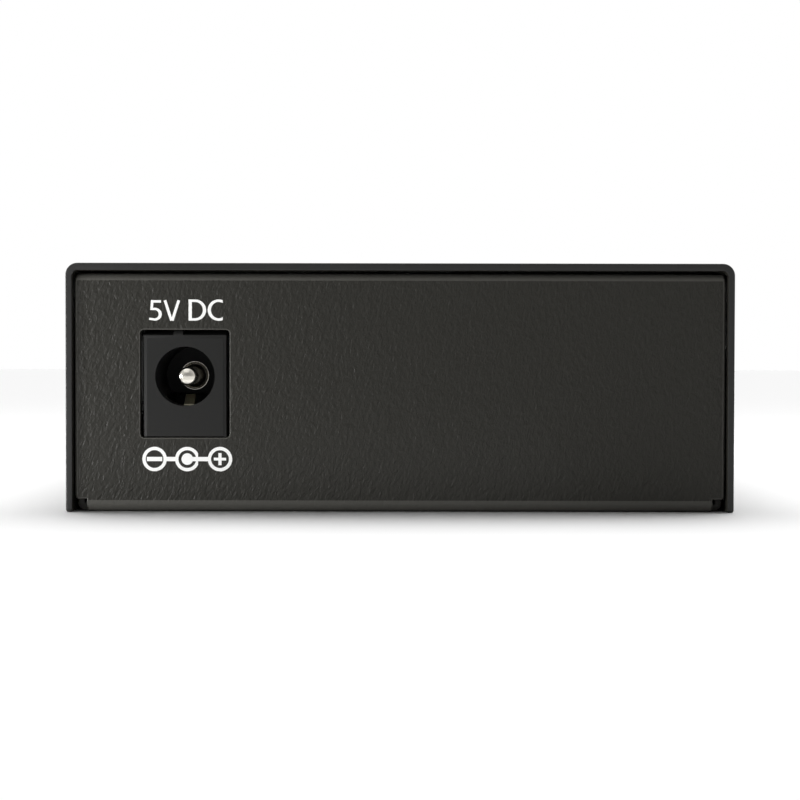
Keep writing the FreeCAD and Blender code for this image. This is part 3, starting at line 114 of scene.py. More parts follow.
def length_property(name, description, millimetres):
    """A length, given in millimetres and kept in metres."""
    return FloatProperty(name=name, description=description, default=millimetres * MM,
                         unit="LENGTH", precision=5)


class FinishSettings(PropertyGroup):
    """Colours and edge radii of the finishes."""
    coat: colour_property("Powder coat", "Colour of the textured powder coat", "#2a2925")
    # Painted shade: a darker copy of the coat on the cover's cut edges.
    shaded_edge_coat: colour_property("Edge coat", "Colour of the coat on cut edges", "#141413")
    # Painted highlight: a paler copy of the coat on the tray's bends, cut ends, side edges and
    # panel feet.
    painted_highlight_coat: colour_property("Bend coat", "Colour of the thinner coat on bends", "#4c4b47")
    coat_grain: length_property("Coat grain", "Distance between bumps of the coat", 0.36)
    coat_depth: length_property("Coat depth", "Height of the coat's bumps", 0.19)
    jack_plastic: colour_property("Jack", "Colour of the power jack's moulding", "#161615")
    ink: colour_property("Ink", "Colour of the screen-printed marks", "#f7f7f5")
    sheet_round: length_property("Sheet edge", "Rounding of the sheet's cut edges", 0.14)
    vent_round: length_property("Vent end", "Rounding of the vents' ends", 0.8)
    moulding_round: length_property("Moulding edge", "Rounding of moulded edges", 0.1)
    small_round: length_property("Small edge", "Rounding of the small parts' edges", 0.05)


class PrintSettings(PropertyGroup):
    """Places and sizes of the marks printed round the power jack."""
    base_height: length_property("Baseline", "Height of the lettering's baseline", 20.6)
    cap_height: length_property("Cap height", "Height of the capitals", 2.28)
    stem: length_property("Stem", "Width of the upright strokes", 0.36)
    hairline: length_property("Hairline", "Width of the level strokes", 0.27)
    ink_thickness: length_property("Ink thickness", "How far the ink stands proud", 0.015)
    symbol_height: length_property("Symbol height", "Height of the polarity symbol's middle", 5.67)
    symbol_pitch: length_property("Symbol pitch", "Distance between the symbol's rings", 3.53)
    ring_size: length_property("Ring", "Outside diameter of the symbol's rings", 2.64)
    ring_line: length_property("Ring line", "Line width of the symbol's rings", 0.36)
    link_line: length_property("Link line", "Line width of the symbol's links", 0.46)
    dot_size: length_property("Dot", "Diameter of the dot in the middle ring", 1.25)


class StageSettings(PropertyGroup):
    """Camera and light of the studio."""
    distance: length_property("Distance", "From the camera to the rear face", 194.2)
    height: length_property("Camera height", "Height of the camera above the floor", 16.8)
    aim: length_property("Aim", "Height at which the lens looks on the rear face", 12.1)
    lens: FloatProperty(name="Lens", description="Focal length in millimetres", default=81.25,
                        unit="CAMERA")
    roll: FloatProperty(name="Roll", description="Tilt of the camera about its line of sight",
                        default=math.radians(0.1), subtype="ANGLE")
    key_power: FloatProperty(name="Side softbox", default=0.14, unit="POWER",
                             description="Power in watts of the softbox at the left")
    front_power: FloatProperty(name="Front softbox", default=0.08, unit="POWER",
                               description="Power in watts of the softbox over the camera")
    foot_power: FloatProperty(name="Foot softbox", default=0.0006, unit="POWER", precision=5,
                              description="Power in watts of the low softbox before the case")
    flank_power: FloatProperty(name="Flank softboxes", default=0.16, unit="POWER",
                               description="Power in watts of the softbox on each flank")
    overhead: FloatProperty(name="Overhead", default=2.85,
                            description="Strength of the light from above")
    fill: FloatProperty(name="Fill", default=0.12, subtype="FACTOR",
                        description="Share of the surroundings' level that lights the scene")
    front: FloatProperty(name="Front", default=0.34, subtype="FACTOR",
                         description="Level of the surroundings behind the camera")


def add_node(tree, kind, sockets=None, links=None, **settings):
    """Add a shader node with its properties, its socket values and what feeds its inputs."""
    node = tree.nodes.new(f"ShaderNode{kind}")
    for name, value in settings.items():
        setattr(node, name, value)
    for name, value in (sockets or {}).items():
        node.inputs[name].default_value = value
    for name, source in (links or {}).items():
        tree.links.new(source, node.inputs[name])
    return node


def new_material(name):
    """An empty node material; a second call for the same name finds it made."""
    material = bpy.data.materials.get(name)
    if material:
        return material, None
    material = bpy.data.materials.new(name)
    material.use_nodes = True
    material.node_tree.nodes.clear()
    return material, material.node_tree


def powder_coated_steel(name, colour, depth, specular, roughness=0.42):
    """Polyester powder coat: a matt black skin with the fine bumps of orange peel."""
    material, tree = new_material(name)
    if not tree:
        return material
    finish = bpy.context.scene.converter_finish
    place = add_node(tree, "TexCoord")
    # The bumps are longer than wide and lean a little, over waves some three bumps wide.
    stretch = add_node(tree, "Mapping", {"Rotation": (0, math.radians(20), 0),
                                         "Scale": (1.0, 1.0, 1.9)},
                       {"Vector": place.outputs["Object"]}, vector_type="TEXTURE")
    grain = add_node(tree, "TexNoise", {"Scale": 1 / finish.coat_grain, "Detail": 2.5,
                                        "Roughness": 0.55, "Distortion": 0.35},
                     {"Vector": stretch.outputs["Vector"]})
    waves = add_node(tree, "TexNoise", {"Scale": 0.3 / finish.coat_grain, "Detail": 1.0},
                     {"Vector": stretch.outputs["Vector"]})
    height = add_node(tree, "Mix", {"Factor": 0.3},
                      {"A": grain.outputs["Fac"], "B": waves.outputs["Fac"]})
    relief = add_node(tree, "Bump", {"Strength": 1.0, "Distance": depth},
                      {"Height": height.outputs["Result"]})
    shine = add_node(tree, "MapRange", {"To Min": roughness - 0.06, "To Max": roughness + 0.06},
                     {"Value": grain.outputs["Fac"]})
    shader = add_node(tree, "BsdfPrincipled",
                      {"Base Color": colour, "Specular IOR Level": specular},
                      {"Normal": relief.outputs["Normal"], "Roughness": shine.outputs["Result"]})
    add_node(tree, "OutputMaterial", links={"Surface": shader.outputs["BSDF"]})
    return material


def grained_material(name, sockets, size, detail, depth, roughness, stretch=(1.0, 1.0, 1.0)):
    """One even surface whose fine grain is a low relief and varies the roughness in a range."""
    material, tree = new_material(name)
    if not tree:
        return material
    place = add_node(tree, "TexCoord")
    run = add_node(tree, "Mapping", {"Scale": stretch}, {"Vector": place.outputs["Object"]})
    grain = add_node(tree, "TexNoise", {"Scale": 1 / size, "Detail": detail},
                     {"Vector": run.outputs["Vector"]})
    relief = add_node(tree, "Bump", {"Strength": 1.0, "Distance": depth},
                      {"Height": grain.outputs["Fac"]})
    shine = add_node(tree, "MapRange", {"To Min": roughness[0], "To Max": roughness[1]},
                     {"Value": grain.outputs["Fac"]})
    shader = add_node(tree, "BsdfPrincipled", sockets,
                      {"Normal": relief.outputs["Normal"], "Roughness": shine.outputs["Result"]})
    add_node(tree, "OutputMaterial", links={"Surface": shader.outputs["BSDF"]})
    return material


def moulded_plastic(name, colour, roughness=0.42, depth=0.003, specular=0.5):
    """Injection-moulded plastic: one even colour with a faint spark-eroded grain."""
    return grained_material(name, {"Base Color": colour, "IOR": 1.5,
                                   "Specular IOR Level": specular},
                            SPARK_GRAIN, 2.0, depth * MM,
                            (roughness - 0.06, roughness + 0.06))


def plated_metal(name, colour, roughness=0.25, streak=(1.0, 1.0, 1.0)):
    """Plated sheet or turned metal: bright, with fine marks from rolling or turning."""
    return grained_material(name, {"Base Color": colour, "Metallic": 1.0}, TOOL_MARKS, 3.0,
                            0.002 * MM, (roughness - 0.08, roughness + 0.1), streak)


def screen_ink(name, colour):
    """Screen-printed enamel ink: flat, opaque and a little satin."""
    return grained_material(name, {"Base Color": colour}, PRINT_MESH, 1.0, 0.002 * MM,
                            (0.5, 0.5))


def black_nylon():
    """Moulded nylon: a dull dark grey."""
    return moulded_plastic("black_nylon", linear("#232323"), roughness=0.45)


def tin_plated_brass():
    """Tin on rolled brass: pale grey and half bright, with streaks from front to rear."""
    return plated_metal("tin_plated_brass", linear("#cfd0cd"), 0.3, (1.0, 0.15, 1.0))


def tinned_wire():
    """Tinned copper wire: pale grey and half bright."""
    return plated_metal("tinned_wire", linear("#c8c9c6"), roughness=0.3)


def solder_mask(name):
    """Glass-epoxy board: green mask over paler raised tracks, with edges of bare laminate painted
    near black as shade.
    """
    material, tree = new_material(name)
    if not tree:
        return material
    track_pitch = 3.2 * MM
    place = add_node(tree, "TexCoord")
    tracks = add_node(tree, "TexVoronoi", {"Scale": 1 / track_pitch, "Randomness": 0.8},
                      {"Vector": place.outputs["Object"]}, distance="MANHATTAN",
                      feature="F1", voronoi_dimensions="2D")
    lines = add_node(tree, "Math", {1: 0.12}, {0: tracks.outputs["Distance"]},
                     operation="PINGPONG")
    edge = add_node(tree, "MapRange", {"From Min": 0.055, "From Max": 0.075},
                    {"Value": lines.outputs["Value"]})
    colours = add_node(tree, "Mix", {"A": linear("#0d4a2a"), "B": linear("#1c6b3c")},
                       {"Factor": edge.outputs["Result"]}, data_type="RGBA")
    relief = add_node(tree, "Bump", {"Strength": 1.0, "Distance": 0.02 * MM},
                      {"Height": edge.outputs["Result"]})
    # The board's cut edges, whose normals lie level, show bare laminate darkened near black:
    # painted shade.
    facing = add_node(tree, "SeparateXYZ",
                      links={"Vector": add_node(tree, "NewGeometry").outputs["True Normal"]})
    upright = add_node(tree, "Math", links={0: facing.outputs["Z"]}, operation="ABSOLUTE")
    laminate_edge_shade = add_node(tree, "Mix", {"A": linear("#26241a")},
                     {"Factor": upright.outputs["Value"], "B": colours.outputs["Result"]},
                     data_type="RGBA")
    shader = add_node(tree, "BsdfPrincipled", {"Roughness": 0.28, "IOR": 1.5},
                      {"Base Color": laminate_edge_shade.outputs["Result"], "Normal": relief.outputs["Normal"]})
    add_node(tree, "OutputMaterial", links={"Surface": shader.outputs["BSDF"]})
    return material


def diffused_lens(name):
    """Unlit lamp: milky green epoxy that light sinks into."""
    material, tree = new_material(name)
    if not tree:
        return material
    cloud_size = 0.6 * MM
    place = add_node(tree, "TexCoord")
    cloud = add_node(tree, "TexNoise", {"Scale": 1 / cloud_size, "Detail": 1.0},
                     {"Vector": place.outputs["Object"]})
    tint = add_node(tree, "Mix", {"A": linear("#5f9c50"), "B": linear("#78ae62")},
                    {"Factor": cloud.outputs["Fac"]}, data_type="RGBA")
    shader = add_node(tree, "BsdfPrincipled",
                      {"Roughness": 0.22, "IOR": 1.5, "Subsurface Weight": 0.4,
                       "Subsurface Scale": 0.5 * MM},
                      {"Base Color": tint.outputs["Result"]})
    add_node(tree, "OutputMaterial", links={"Surface": shader.outputs["BSDF"]})
    return material


def node_mesh(node, split=None):
    """A welded copy of a CAD node's mesh, with the triangles of each flat face joined.

    A split at a height leaves a face with a row of holes in two simple halves.
    """
    mesh = bmesh.new()
    mesh.from_mesh(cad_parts[node].data)
    bmesh.ops.remove_doubles(mesh, verts=mesh.verts, dist=WELD)
    kept = set()
    if split is not None:
        cut = bmesh.ops.bisect_plane(mesh, geom=mesh.verts[:] + mesh.edges[:] + mesh.faces[:],
                                     dist=WELD, plane_co=(0, 0, split), plane_no=(0, 0, 1))
        kept = {part for part in cut["geom_cut"] if isinstance(part, bmesh.types.BMEdge)}
    bmesh.ops.dissolve_limit(mesh, angle_limit=FLAT, verts=mesh.verts,
                             edges=[edge for edge in mesh.edges if edge not in kept])
    return mesh


def convex_edges(mesh):
    """The sharp outer edges."""
    return [edge for edge in mesh.edges
            if len(edge.link_faces) == 2 and edge.is_convex and edge.calc_face_angle() > SHARP]


def round_edges(mesh, edges, radius, segments):
    """Round edges to a radius."""
    bmesh.ops.bevel(mesh, geom=edges, offset=radius, offset_type="OFFSET", affect="EDGES",
                    segments=segments, profile=0.5, material=-1, clamp_overlap=False,
                    loop_slide=False)
    bmesh.ops.dissolve_degenerate(mesh, edges=mesh.edges, dist=WELD)


def join_mesh(mesh, other):
    """Add another mesh to this one and free it."""
    data = bpy.data.meshes.new("joined")
    other.to_mesh(data)
    other.free()
    mesh.from_mesh(data)
    bpy.data.meshes.remove(data)


def place_piece(mesh, name, materials, replaced=None):
    """Turn a finished mesh into a piece that rides on the body, maybe in a CAD node's place."""
    for face in mesh.faces:
        face.smooth = True
    for edge in mesh.edges:
        edge.smooth = len(edge.link_faces) != 2 or edge.calc_face_angle() < SHARP
    data = bpy.data.meshes.new(name)
    mesh.to_mesh(data)
    mesh.free()
    for material in materials:
        data.materials.append(material)
    piece = bpy.data.objects.new(name, data)
    bpy.context.scene.collection.objects.link(piece)
    even = piece.modifiers.new("even_shading", "WEIGHTED_NORMAL")
    even.keep_sharp = True
    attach(piece, BODY)
    if replaced:
        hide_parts(replaced)
    return piece


def rounded_node(node, material, radius, segments=2):
    """Stand a copy of a CAD node with rounded outer edges in the node's place."""
    mesh = node_mesh(node)
    round_edges(mesh, convex_edges(mesh), radius, segments)
    return place_piece(mesh, f"{node}_finished", [material], node)


def coat_node(node, material):
    """Give a CAD node that keeps its shape its finish."""
    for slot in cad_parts[node].material_slots:
        slot.material = material


def jack_axis():
    """Where the power jack's axis crosses the middle of the case's length."""
    low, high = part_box("power_jack_housing")
    return Vector(((low.x + high.x) / 2, 0, JACK_AXIS))


class CONVERTER_OT_case(Operator):
    """Round the cut edges of the folded sheets and powder-coat them"""
    bl_idname = "converter.case"
    bl_label = "Case"

    def execute(self, context):
        finish = context.scene.converter_finish
        coat = powder_coated_steel("powder_coat", finish.coat, finish.coat_depth, 0.2)
        self.finish_cover(finish, coat)
        self.finish_tray(finish, coat)
        return {"FINISHED"}

    def finish_cover(self, finish, coat):
        """Thin the side walls, round the vents' ends and give the cut edges a smoother, shinier
        copy of the coat whose darker colour is painted shade.
        """
        shaded_edge_coat = powder_coated_steel("powder_coat_with_painted_shade_on_cut_edges", finish.shaded_edge_coat,
                                        0.1 * finish.coat_depth, 0.44)
        cover = node_mesh("top_cover", split=VENT_LEVEL)
        self.shift_walls(cover, SIDE - SHEET)
        round_edges(cover, self.vent_corners(cover), finish.vent_round, 5)
        round_edges(cover, convex_edges(cover), finish.sheet_round, 2)
        # The cut edges face front and rear and take the darker copy of the coat: painted shade.
        for face in cover.faces:
            face.material_index = int(abs(face.normal.y) > 0.5)
        place_piece(cover, "top_cover_finished", [coat, shaded_edge_coat],
                    "top_cover")

    def finish_tray(self, finish, coat):
        """Widen the tray towards the cover, round its sides more and paint a highlight on its
        bends, cut ends, side edges and panel feet as a paler coat.
        """
        painted_highlight_coat = powder_coated_steel("powder_coat_with_painted_highlight", finish.painted_highlight_coat,
                                        0.3 * finish.coat_depth, 0.2)
        tray = node_mesh("base_tray", split=FOOT_TOP)
        self.shift_walls(tray, SIDE - SHEET - CASE_GAP)
        side = SIDE - SHEET - CASE_GAP + WALL_SHIFT
        sides = [edge for edge in convex_edges(tray)
                 if all(abs(abs(vert.co.x) - side) < WELD for vert in edge.verts)]
        round_edges(tray, sides, 2 * finish.sheet_round, 3)
        round_edges(tray, convex_edges(tray), finish.sheet_round, 2)
        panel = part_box("base_tray")[1].y
        # Bends, cut ends, side edges and the panels' foot take a paler copy of the coat: a painted
        # highlight.
        for face in tray.faces:
            face.material_index = int(self.is_painted_highlight(face, side, panel))
        place_piece(tray, "base_tray_finished", [coat, painted_highlight_coat],
                    "base_tray")

    def is_painted_highlight(self, face, side, panel):
        """Whether a face of the tray takes the painted highlight: a bend, a side edge, a cut end
        of the sheet or a panel's foot.
        """
        slight, steep, largest_end, skin = 0.2, 0.98, 3 * MM ** 2, 0.1 * MM
        centre = face.calc_center_median()
        on_side = abs(centre.x) > side - MM
        tilt = max(abs(face.normal.z), abs(face.normal.x) * on_side)
        bent = slight < tilt < steep and slight < abs(face.normal.y)
        foot = centre.z < FOOT_TOP and abs(centre.y) > panel - skin
        small = face.calc_area() < largest_end
        cut_end = small and abs(face.normal.y) > 0.9
        return cut_end or (bent and not small) or (foot and not bent)

    def shift_walls(self, mesh, place):
        """Move the flat walls at a distance on both sides outwards."""
        for vert in mesh.verts:
            if abs(abs(vert.co.x) - place) < WELD:
                vert.co.x += math.copysign(WALL_SHIFT, vert.co.x)

    def vent_corners(self, mesh):
        """The short edges through the side walls at the corners of the vents."""
        corners = []
        for edge in mesh.edges:
            run = edge.verts[1].co - edge.verts[0].co
            across = abs(run.x) > 0.99 * run.length
            if across and len(edge.link_faces) == 2 and not edge.is_convex:
                if edge.calc_face_angle() > 2 * SHARP:
                    corners.append(edge)
        return corners


class CONVERTER_OT_fasteners(Operator):
    """Finish the screws and the board's pillars"""
    bl_idname = "converter.fasteners"
    bl_label = "Fasteners"

    def execute(self, context):
        finish = context.scene.converter_finish
        # Black zinc is dark and satin, and clear zinc a cool pale grey.
        black = plated_metal("black_zinc_screws", linear("#3a3a3c"), roughness=0.4)
        zinc = plated_metal("zinc_plate", linear("#c9ccd0"), roughness=0.3)
        rounded_node("cover_screws", black, finish.small_round)
        coat_node("board_standoffs", zinc)
        coat_node("board_screws", zinc)
        return {"FINISHED"}


class CONVERTER_OT_power_jack(Operator):
    """Mould the power jack and polish its pin, its spring and its terminal"""
    bl_idname = "converter.power_jack"
    bl_label = "Power jack"

    def execute(self, context):
        finish = context.scene.converter_finish
        # The moulding is a dull black; the nickel is bright, and the brass pale and satin.
        plastic = moulded_plastic("black_pbt", finish.jack_plastic, 0.5, specular=0.25)
        nickel = plated_metal("nickel_plate", linear("#d8d4cb"), roughness=0.18)
        brass = plated_metal("spring_brass", linear("#d6d1b8"), roughness=0.42)
        self.finish_housing(finish, plastic)
        self.turn_pin(nickel)
        coat_node("power_jack_spring", brass)
        coat_node("power_jack_switch_contact", brass)
        return {"FINISHED"}

    def finish_housing(self, finish, plastic):
        """Shape the moulding's front, break its long edges and paint shade into its bore as a
        darker copy of the moulding.
        """
        low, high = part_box("power_jack_housing")
        axis = jack_axis()
        housing = node_mesh("power_jack_housing")
        self.shape_front(housing, axis, low.y, high.z)
        long_edge = 1.7 * MM
        edges = [edge for edge in convex_edges(housing) if edge.calc_length() > long_edge]
        round_edges(housing, edges, finish.moulding_round, 2)
        # Faces inside the bore take a darker copy of the moulding: painted shade.
        bore, lip = 3.3 * MM, 0.05 * MM
        for face in housing.faces:
            middle = face.calc_center_median()
            spoke = math.hypot(middle.x - axis.x, middle.z - axis.z)
            face.material_index = int(spoke < bore and middle.y > low.y + lip)
        shade = moulded_plastic("black_pbt_with_painted_bore_shade", linear("#101010"), 0.5, specular=0.2)
        place_piece(housing, "power_jack_housing_finished", [plastic, shade],
                    "power_jack_housing")

    def shape_front(self, housing, axis, front, crown):
        """Open the mouth, ease the front's chamfer, slope the collar's top, widen the slot."""
        rim, mouth = 3.6 * MM, 3.22 * MM
        chamfer, eased = 0.35 * MM, 0.14 * MM
        collar, draft = 4 * MM, 0.21
        slot, wide_slot = 2.2 * MM, 2.45 * MM
        lift, ceiling = 0.26 * MM, 12.6 * MM
        top = crown - chamfer
        for vert in housing.verts:
            spoke = Vector((vert.co.x, 0, vert.co.z)) - axis
            depth = vert.co.y - front
            if depth < WELD and spoke.length < rim:
                vert.co -= spoke * (1 - mouth / spoke.length)
            elif abs(depth - chamfer) < WELD and vert.co.z < top + WELD:
                vert.co.y = front + eased
            elif vert.co.z > top - WELD and depth < collar:
                vert.co.z += draft * (depth - eased)
            elif abs(abs(spoke.x) - slot) < WELD and vert.co.z < axis.z - MM:
                vert.co.x = axis.x + math.copysign(wide_slot, spoke.x)
                if vert.co.z > ceiling - MM:
                    vert.co.z = min(vert.co.z + lift, ceiling)

    def turn_pin(self, nickel):
        """Turn the pin with its domed tip and grooved root, on the tail it had."""
        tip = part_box("power_jack_pin")[0].y
        axis = jack_axis()
        # Radius and depth behind the tip, in millimetres.
        dome, back = 2.0, 7.7
        profile = [(radius, dome - math.sqrt(dome ** 2 - radius ** 2))
                   for radius in (0, 0.2, 0.4, 0.6, 0.8, 0.9)]
        profile += [(0.97, 0.29), (1.01, 0.4), (1.02, 0.55), (1.02, 7.66), (1.24, 7.55),
                    (1.29, 7.51), (1.33, 7.52), (1.37, 7.6), (1.43, 7.68), (1.49, 7.6),
                    (1.54, 7.53), (1.58, 7.53), (1.6, 7.58), (1.6, back), (0, back)]
        pin = bmesh.new()
        verts = [pin.verts.new(axis + Vector((radius * MM, tip + depth * MM, 0)))
                 for radius, depth in profile]
        edges = [pin.edges.new(pair) for pair in zip(verts, verts[1:])]
        bmesh.ops.spin(pin, geom=verts + edges, cent=axis, axis=(0, 1, 0), angle=math.tau,
                       steps=72, use_merge=True)
        bmesh.ops.remove_doubles(pin, verts=pin.verts, dist=WELD)
        bmesh.ops.recalc_face_normals(pin, faces=pin.faces)
        tail = node_mesh("power_jack_pin")
        cut = bmesh.ops.bisect_plane(tail, geom=tail.verts[:] + tail.edges[:] + tail.faces[:],
                                     plane_co=(0, tip + back * MM, 0), plane_no=(0, 1, 0),
                                     clear_inner=True)
        rim = [part for part in cut["geom_cut"] if isinstance(part, bmesh.types.BMEdge)]
        bmesh.ops.edgenet_fill(tail, edges=rim)
        bmesh.ops.recalc_face_normals(tail, faces=tail.faces)
        join_mesh(pin, tail)
        place_piece(pin, "power_jack_pin_finished", [nickel], "power_jack_pin")


class CONVERTER_OT_marks(Operator):
    """Print the voltage and the polarity symbol round the power jack"""
    bl_idname = "converter.marks"
    bl_label = "Printed marks"

    def execute(self, context):
        settings = context.scene.converter_print
        ink = screen_ink("screen_ink_white", context.scene.converter_finish.ink)
        centre = jack_axis().x
        self.strokes = []
        self.draw_lettering(settings, centre)
        self.draw_symbol(settings, centre)
        sheet = bmesh.new()
        for number, stroke in enumerate(self.strokes):
            self.raise_stroke(stroke, settings.ink_thickness + number * PRINT_STEP)
            join_mesh(sheet, stroke)
        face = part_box("base_tray")[0].y
        stand = Matrix.Translation((0, face, 0)) @ Matrix.Rotation(math.pi / 2, 4, "X")
        bmesh.ops.transform(sheet, matrix=stand, verts=sheet.verts)
        place_piece(sheet, "printed_marks", [ink])
        return {"FINISHED"}

    def raise_stroke(self, stroke, thickness):
        """Give a flat stroke its thickness."""
        bmesh.ops.recalc_face_normals(stroke, faces=stroke.faces)
        raised = bmesh.ops.extrude_face_region(stroke, geom=stroke.faces[:])
        tops = [part for part in raised["geom"] if isinstance(part, bmesh.types.BMVert)]
        bmesh.ops.translate(stroke, vec=(0, 0, thickness), verts=tops)
        bmesh.ops.recalc_face_normals(stroke, faces=stroke.faces)

    def bar(self, start, end, width):
        """A straight stroke of one width between two points."""
        run = Vector(end) - Vector(start)
        middle = (Vector(end) + Vector(start)) / 2
        turn = Matrix.Rotation(math.atan2(run.y, run.x), 4, "Z")
        shape = (Matrix.Translation((*middle, 0)) @ turn
                 @ Matrix.Diagonal((run.length, width, 1, 1)))
        stroke = bmesh.new()
        bmesh.ops.create_grid(stroke, x_segments=1, y_segments=1, size=0.5, matrix=shape)
        self.strokes.append(stroke)

    def ring(self, centre, outer, inner, cuts=()):
        """An elliptical ring, less what lies beyond each cutting line."""
        stroke = bmesh.new()
        for half_sizes in (outer, inner):
            shape = Matrix.Translation((*centre, 0)) @ Matrix.Diagonal((*half_sizes, 1, 1))
            bmesh.ops.create_circle(stroke, segments=72, radius=1, matrix=shape)
        bmesh.ops.bridge_loops(stroke, edges=stroke.edges)
        for point, away in cuts:
            parts = stroke.verts[:] + stroke.edges[:] + stroke.faces[:]
            bmesh.ops.bisect_plane(stroke, geom=parts, plane_co=(*point, 0),
                                   plane_no=(*away, 0), clear_outer=True)
        self.strokes.append(stroke)

    def dot(self, centre, radius):
        """A filled disc."""
        stroke = bmesh.new()
        bmesh.ops.create_circle(stroke, cap_ends=True, segments=48, radius=radius,
                                matrix=Matrix.Translation((*centre, 0)))
        self.strokes.append(stroke)

    def draw_lettering(self, settings, centre):
        """The supply's voltage over the jack."""
        for draw, left in ((self.draw_five, -3.84), (self.draw_v, -2.32),
                           (self.draw_d, 0.4), (self.draw_c, 2.46)):
            draw(settings, centre + left * MM)

    def draw_five(self, settings, left):
        """A flag, an upright, a waist and a tail that run into an open bowl."""
        low, thin = settings.base_height, settings.hairline
        top = low + settings.cap_height - 0.08 * MM
        flag, waist = top - thin / 2, low + 1.26 * MM
        upright, stroke = 0.29 * MM, 0.24 * MM
        bowl = (left + 0.57 * MM, low + 0.69 * MM)
        outer, inner = (0.79 * MM, 0.7 * MM), (0.45 * MM, 0.45 * MM)
        self.bar((left + 0.19 * MM, flag), (left + 1.27 * MM, flag), thin)
        self.bar((left + 0.34 * MM, top), (left + 0.26 * MM, waist - 0.08 * MM), upright)
        self.bar((left + 0.12 * MM, waist), (left + 0.6 * MM, waist), stroke)
        self.bar((left, low + 0.2 * MM), (left + 0.58 * MM, low + 0.12 * MM), stroke)
        self.ring(bowl, outer, inner, cuts=[((bowl[0], 0), (-1, 0))])

    def draw_v(self, settings, left):
        """Two sloping strokes that meet at the foot."""
        low = settings.base_height
        top = low + settings.cap_height - 0.09 * MM
        foot, overlap, width = left + 0.92 * MM, 0.04 * MM, 0.3 * MM
        self.bar((left + 0.18 * MM, top), (foot - overlap, low), width)
        self.bar((left + 1.67 * MM, top), (foot + overlap, low), width)

    def draw_d(self, settings, left):
        """A stem, two level strokes and half a ring."""
        low, cap = settings.base_height, settings.cap_height
        thin, stem = settings.hairline, settings.stem
        shoulder = left + 0.72 * MM
        outer = (1.18 * MM, cap / 2)
        inner = (outer[0] - stem, outer[1] - thin)
        self.bar((left + stem / 2, low), (left + stem / 2, low + cap), stem)
        for level in (low + thin / 2, low + cap - thin / 2):
            self.bar((left + stem, level), (shoulder, level), thin)
        self.ring((shoulder, low + cap / 2), outer, inner, cuts=[((shoulder, 0), (-1, 0))])

    def draw_c(self, settings, left):
        """A ring cut off upright at its open end."""
        low, cap = settings.base_height, settings.cap_height
        centre = (left + 1.19 * MM, low + cap / 2)
        outer = (1.19 * MM, cap / 2 + 0.01 * MM)
        inner = (outer[0] - settings.stem, outer[1] - settings.hairline)
        end = left + 1.63 * MM
        self.ring(centre, outer, inner, cuts=[((end, 0), (1, 0))])

    def draw_symbol(self, settings, centre):
        """Centre-positive polarity: minus, a broken ring round a dot, and plus."""
        level, pitch = settings.symbol_height, settings.symbol_pitch
        middle = centre + 0.25 * MM
        minus, plus = middle - pitch, middle + pitch
        outside = settings.ring_size / 2
        inside = outside - settings.ring_line
        rim = outside - settings.ring_line / 2
        gap = math.radians(28)
        for x in (minus, plus):
            self.ring((x, level), (outside, outside), (inside, inside))
        mouth = outside * math.cos(gap)
        self.ring((middle, level), (outside, outside), (inside, inside),
                  cuts=[((middle + mouth, level), (1, 0))])
        self.dot((middle, level), settings.dot_size / 2)
        self.bar((minus + rim, level), (middle - rim, level), settings.link_line)
        self.bar((middle, level), (plus - rim, level), settings.link_line)
        half, arm = 0.83 * MM, 0.66 * MM
        level_arm, upright_arm = 0.3 * MM, 0.34 * MM
        self.bar((minus - half, level), (minus + half, level), settings.link_line)
        self.bar((plus - arm, level), (plus + arm, level), level_arm)
        self.bar((plus, level - arm), (plus, level + arm), upright_arm)


class CONVERTER_OT_network_socket(Operator):
    """Finish the shielded network socket"""
    bl_idname = "converter.network_socket"
    bl_label = "Network socket"

    def execute(self, context):
        finish = context.scene.converter_finish
        tin, black = tin_plated_brass(), black_nylon()
        # Thin gold over nickel: a warm, half-bright yellow.
        gold = plated_metal("gold_flash", linear("#e2b557"), roughness=0.22)
        rounded_node("rj45_shield", tin, finish.small_round)
        rounded_node("rj45_housing", black, finish.small_round)
        rounded_node("rj45_contacts", gold, finish.small_round)
        return {"FINISHED"}


class CONVERTER_OT_fibre_port(Operator):
    """Finish the duplex fibre port and the transceiver behind it"""
    bl_idname = "converter.fibre_port"
    bl_label = "Fibre port"

    def execute(self, context):
        finish = context.scene.converter_finish
        # The blue and the cream resin are satin, and the ground ceramic is glossy and white.
        blue = moulded_plastic("blue_pbt", linear("#2f6da8"), roughness=0.38)
        cream = moulded_plastic("cream_pei", linear("#e4dcc3"), roughness=0.4)
        black = black_nylon()
        ceramic = moulded_plastic("zirconia", linear("#efece4"), roughness=0.2, depth=0.0005)
        tin = tin_plated_brass()
        rounded_node("fibre_receptacle", blue, finish.moulding_round)
        rounded_node("fibre_latches", cream, finish.small_round)
        rounded_node("ferrule_sleeves", ceramic, finish.small_round)
        rounded_node("transceiver_case", black, finish.moulding_round)
        coat_node("transceiver_pins", tin)
        return {"FINISHED"}


class CONVERTER_OT_status_lamps(Operator):
    """Finish the six status lamps and their holder"""
    bl_idname = "converter.status_lamps"
    bl_label = "Status lamps"

    def execute(self, context):
        finish = context.scene.converter_finish
        lens = diffused_lens("diffused_epoxy")
        black, tin = black_nylon(), tinned_wire()
        rounded_node("status_lamps", lens, finish.small_round)
        coat_node("lamp_holder", black)
        coat_node("lamp_leads", tin)
        return {"FINISHED"}


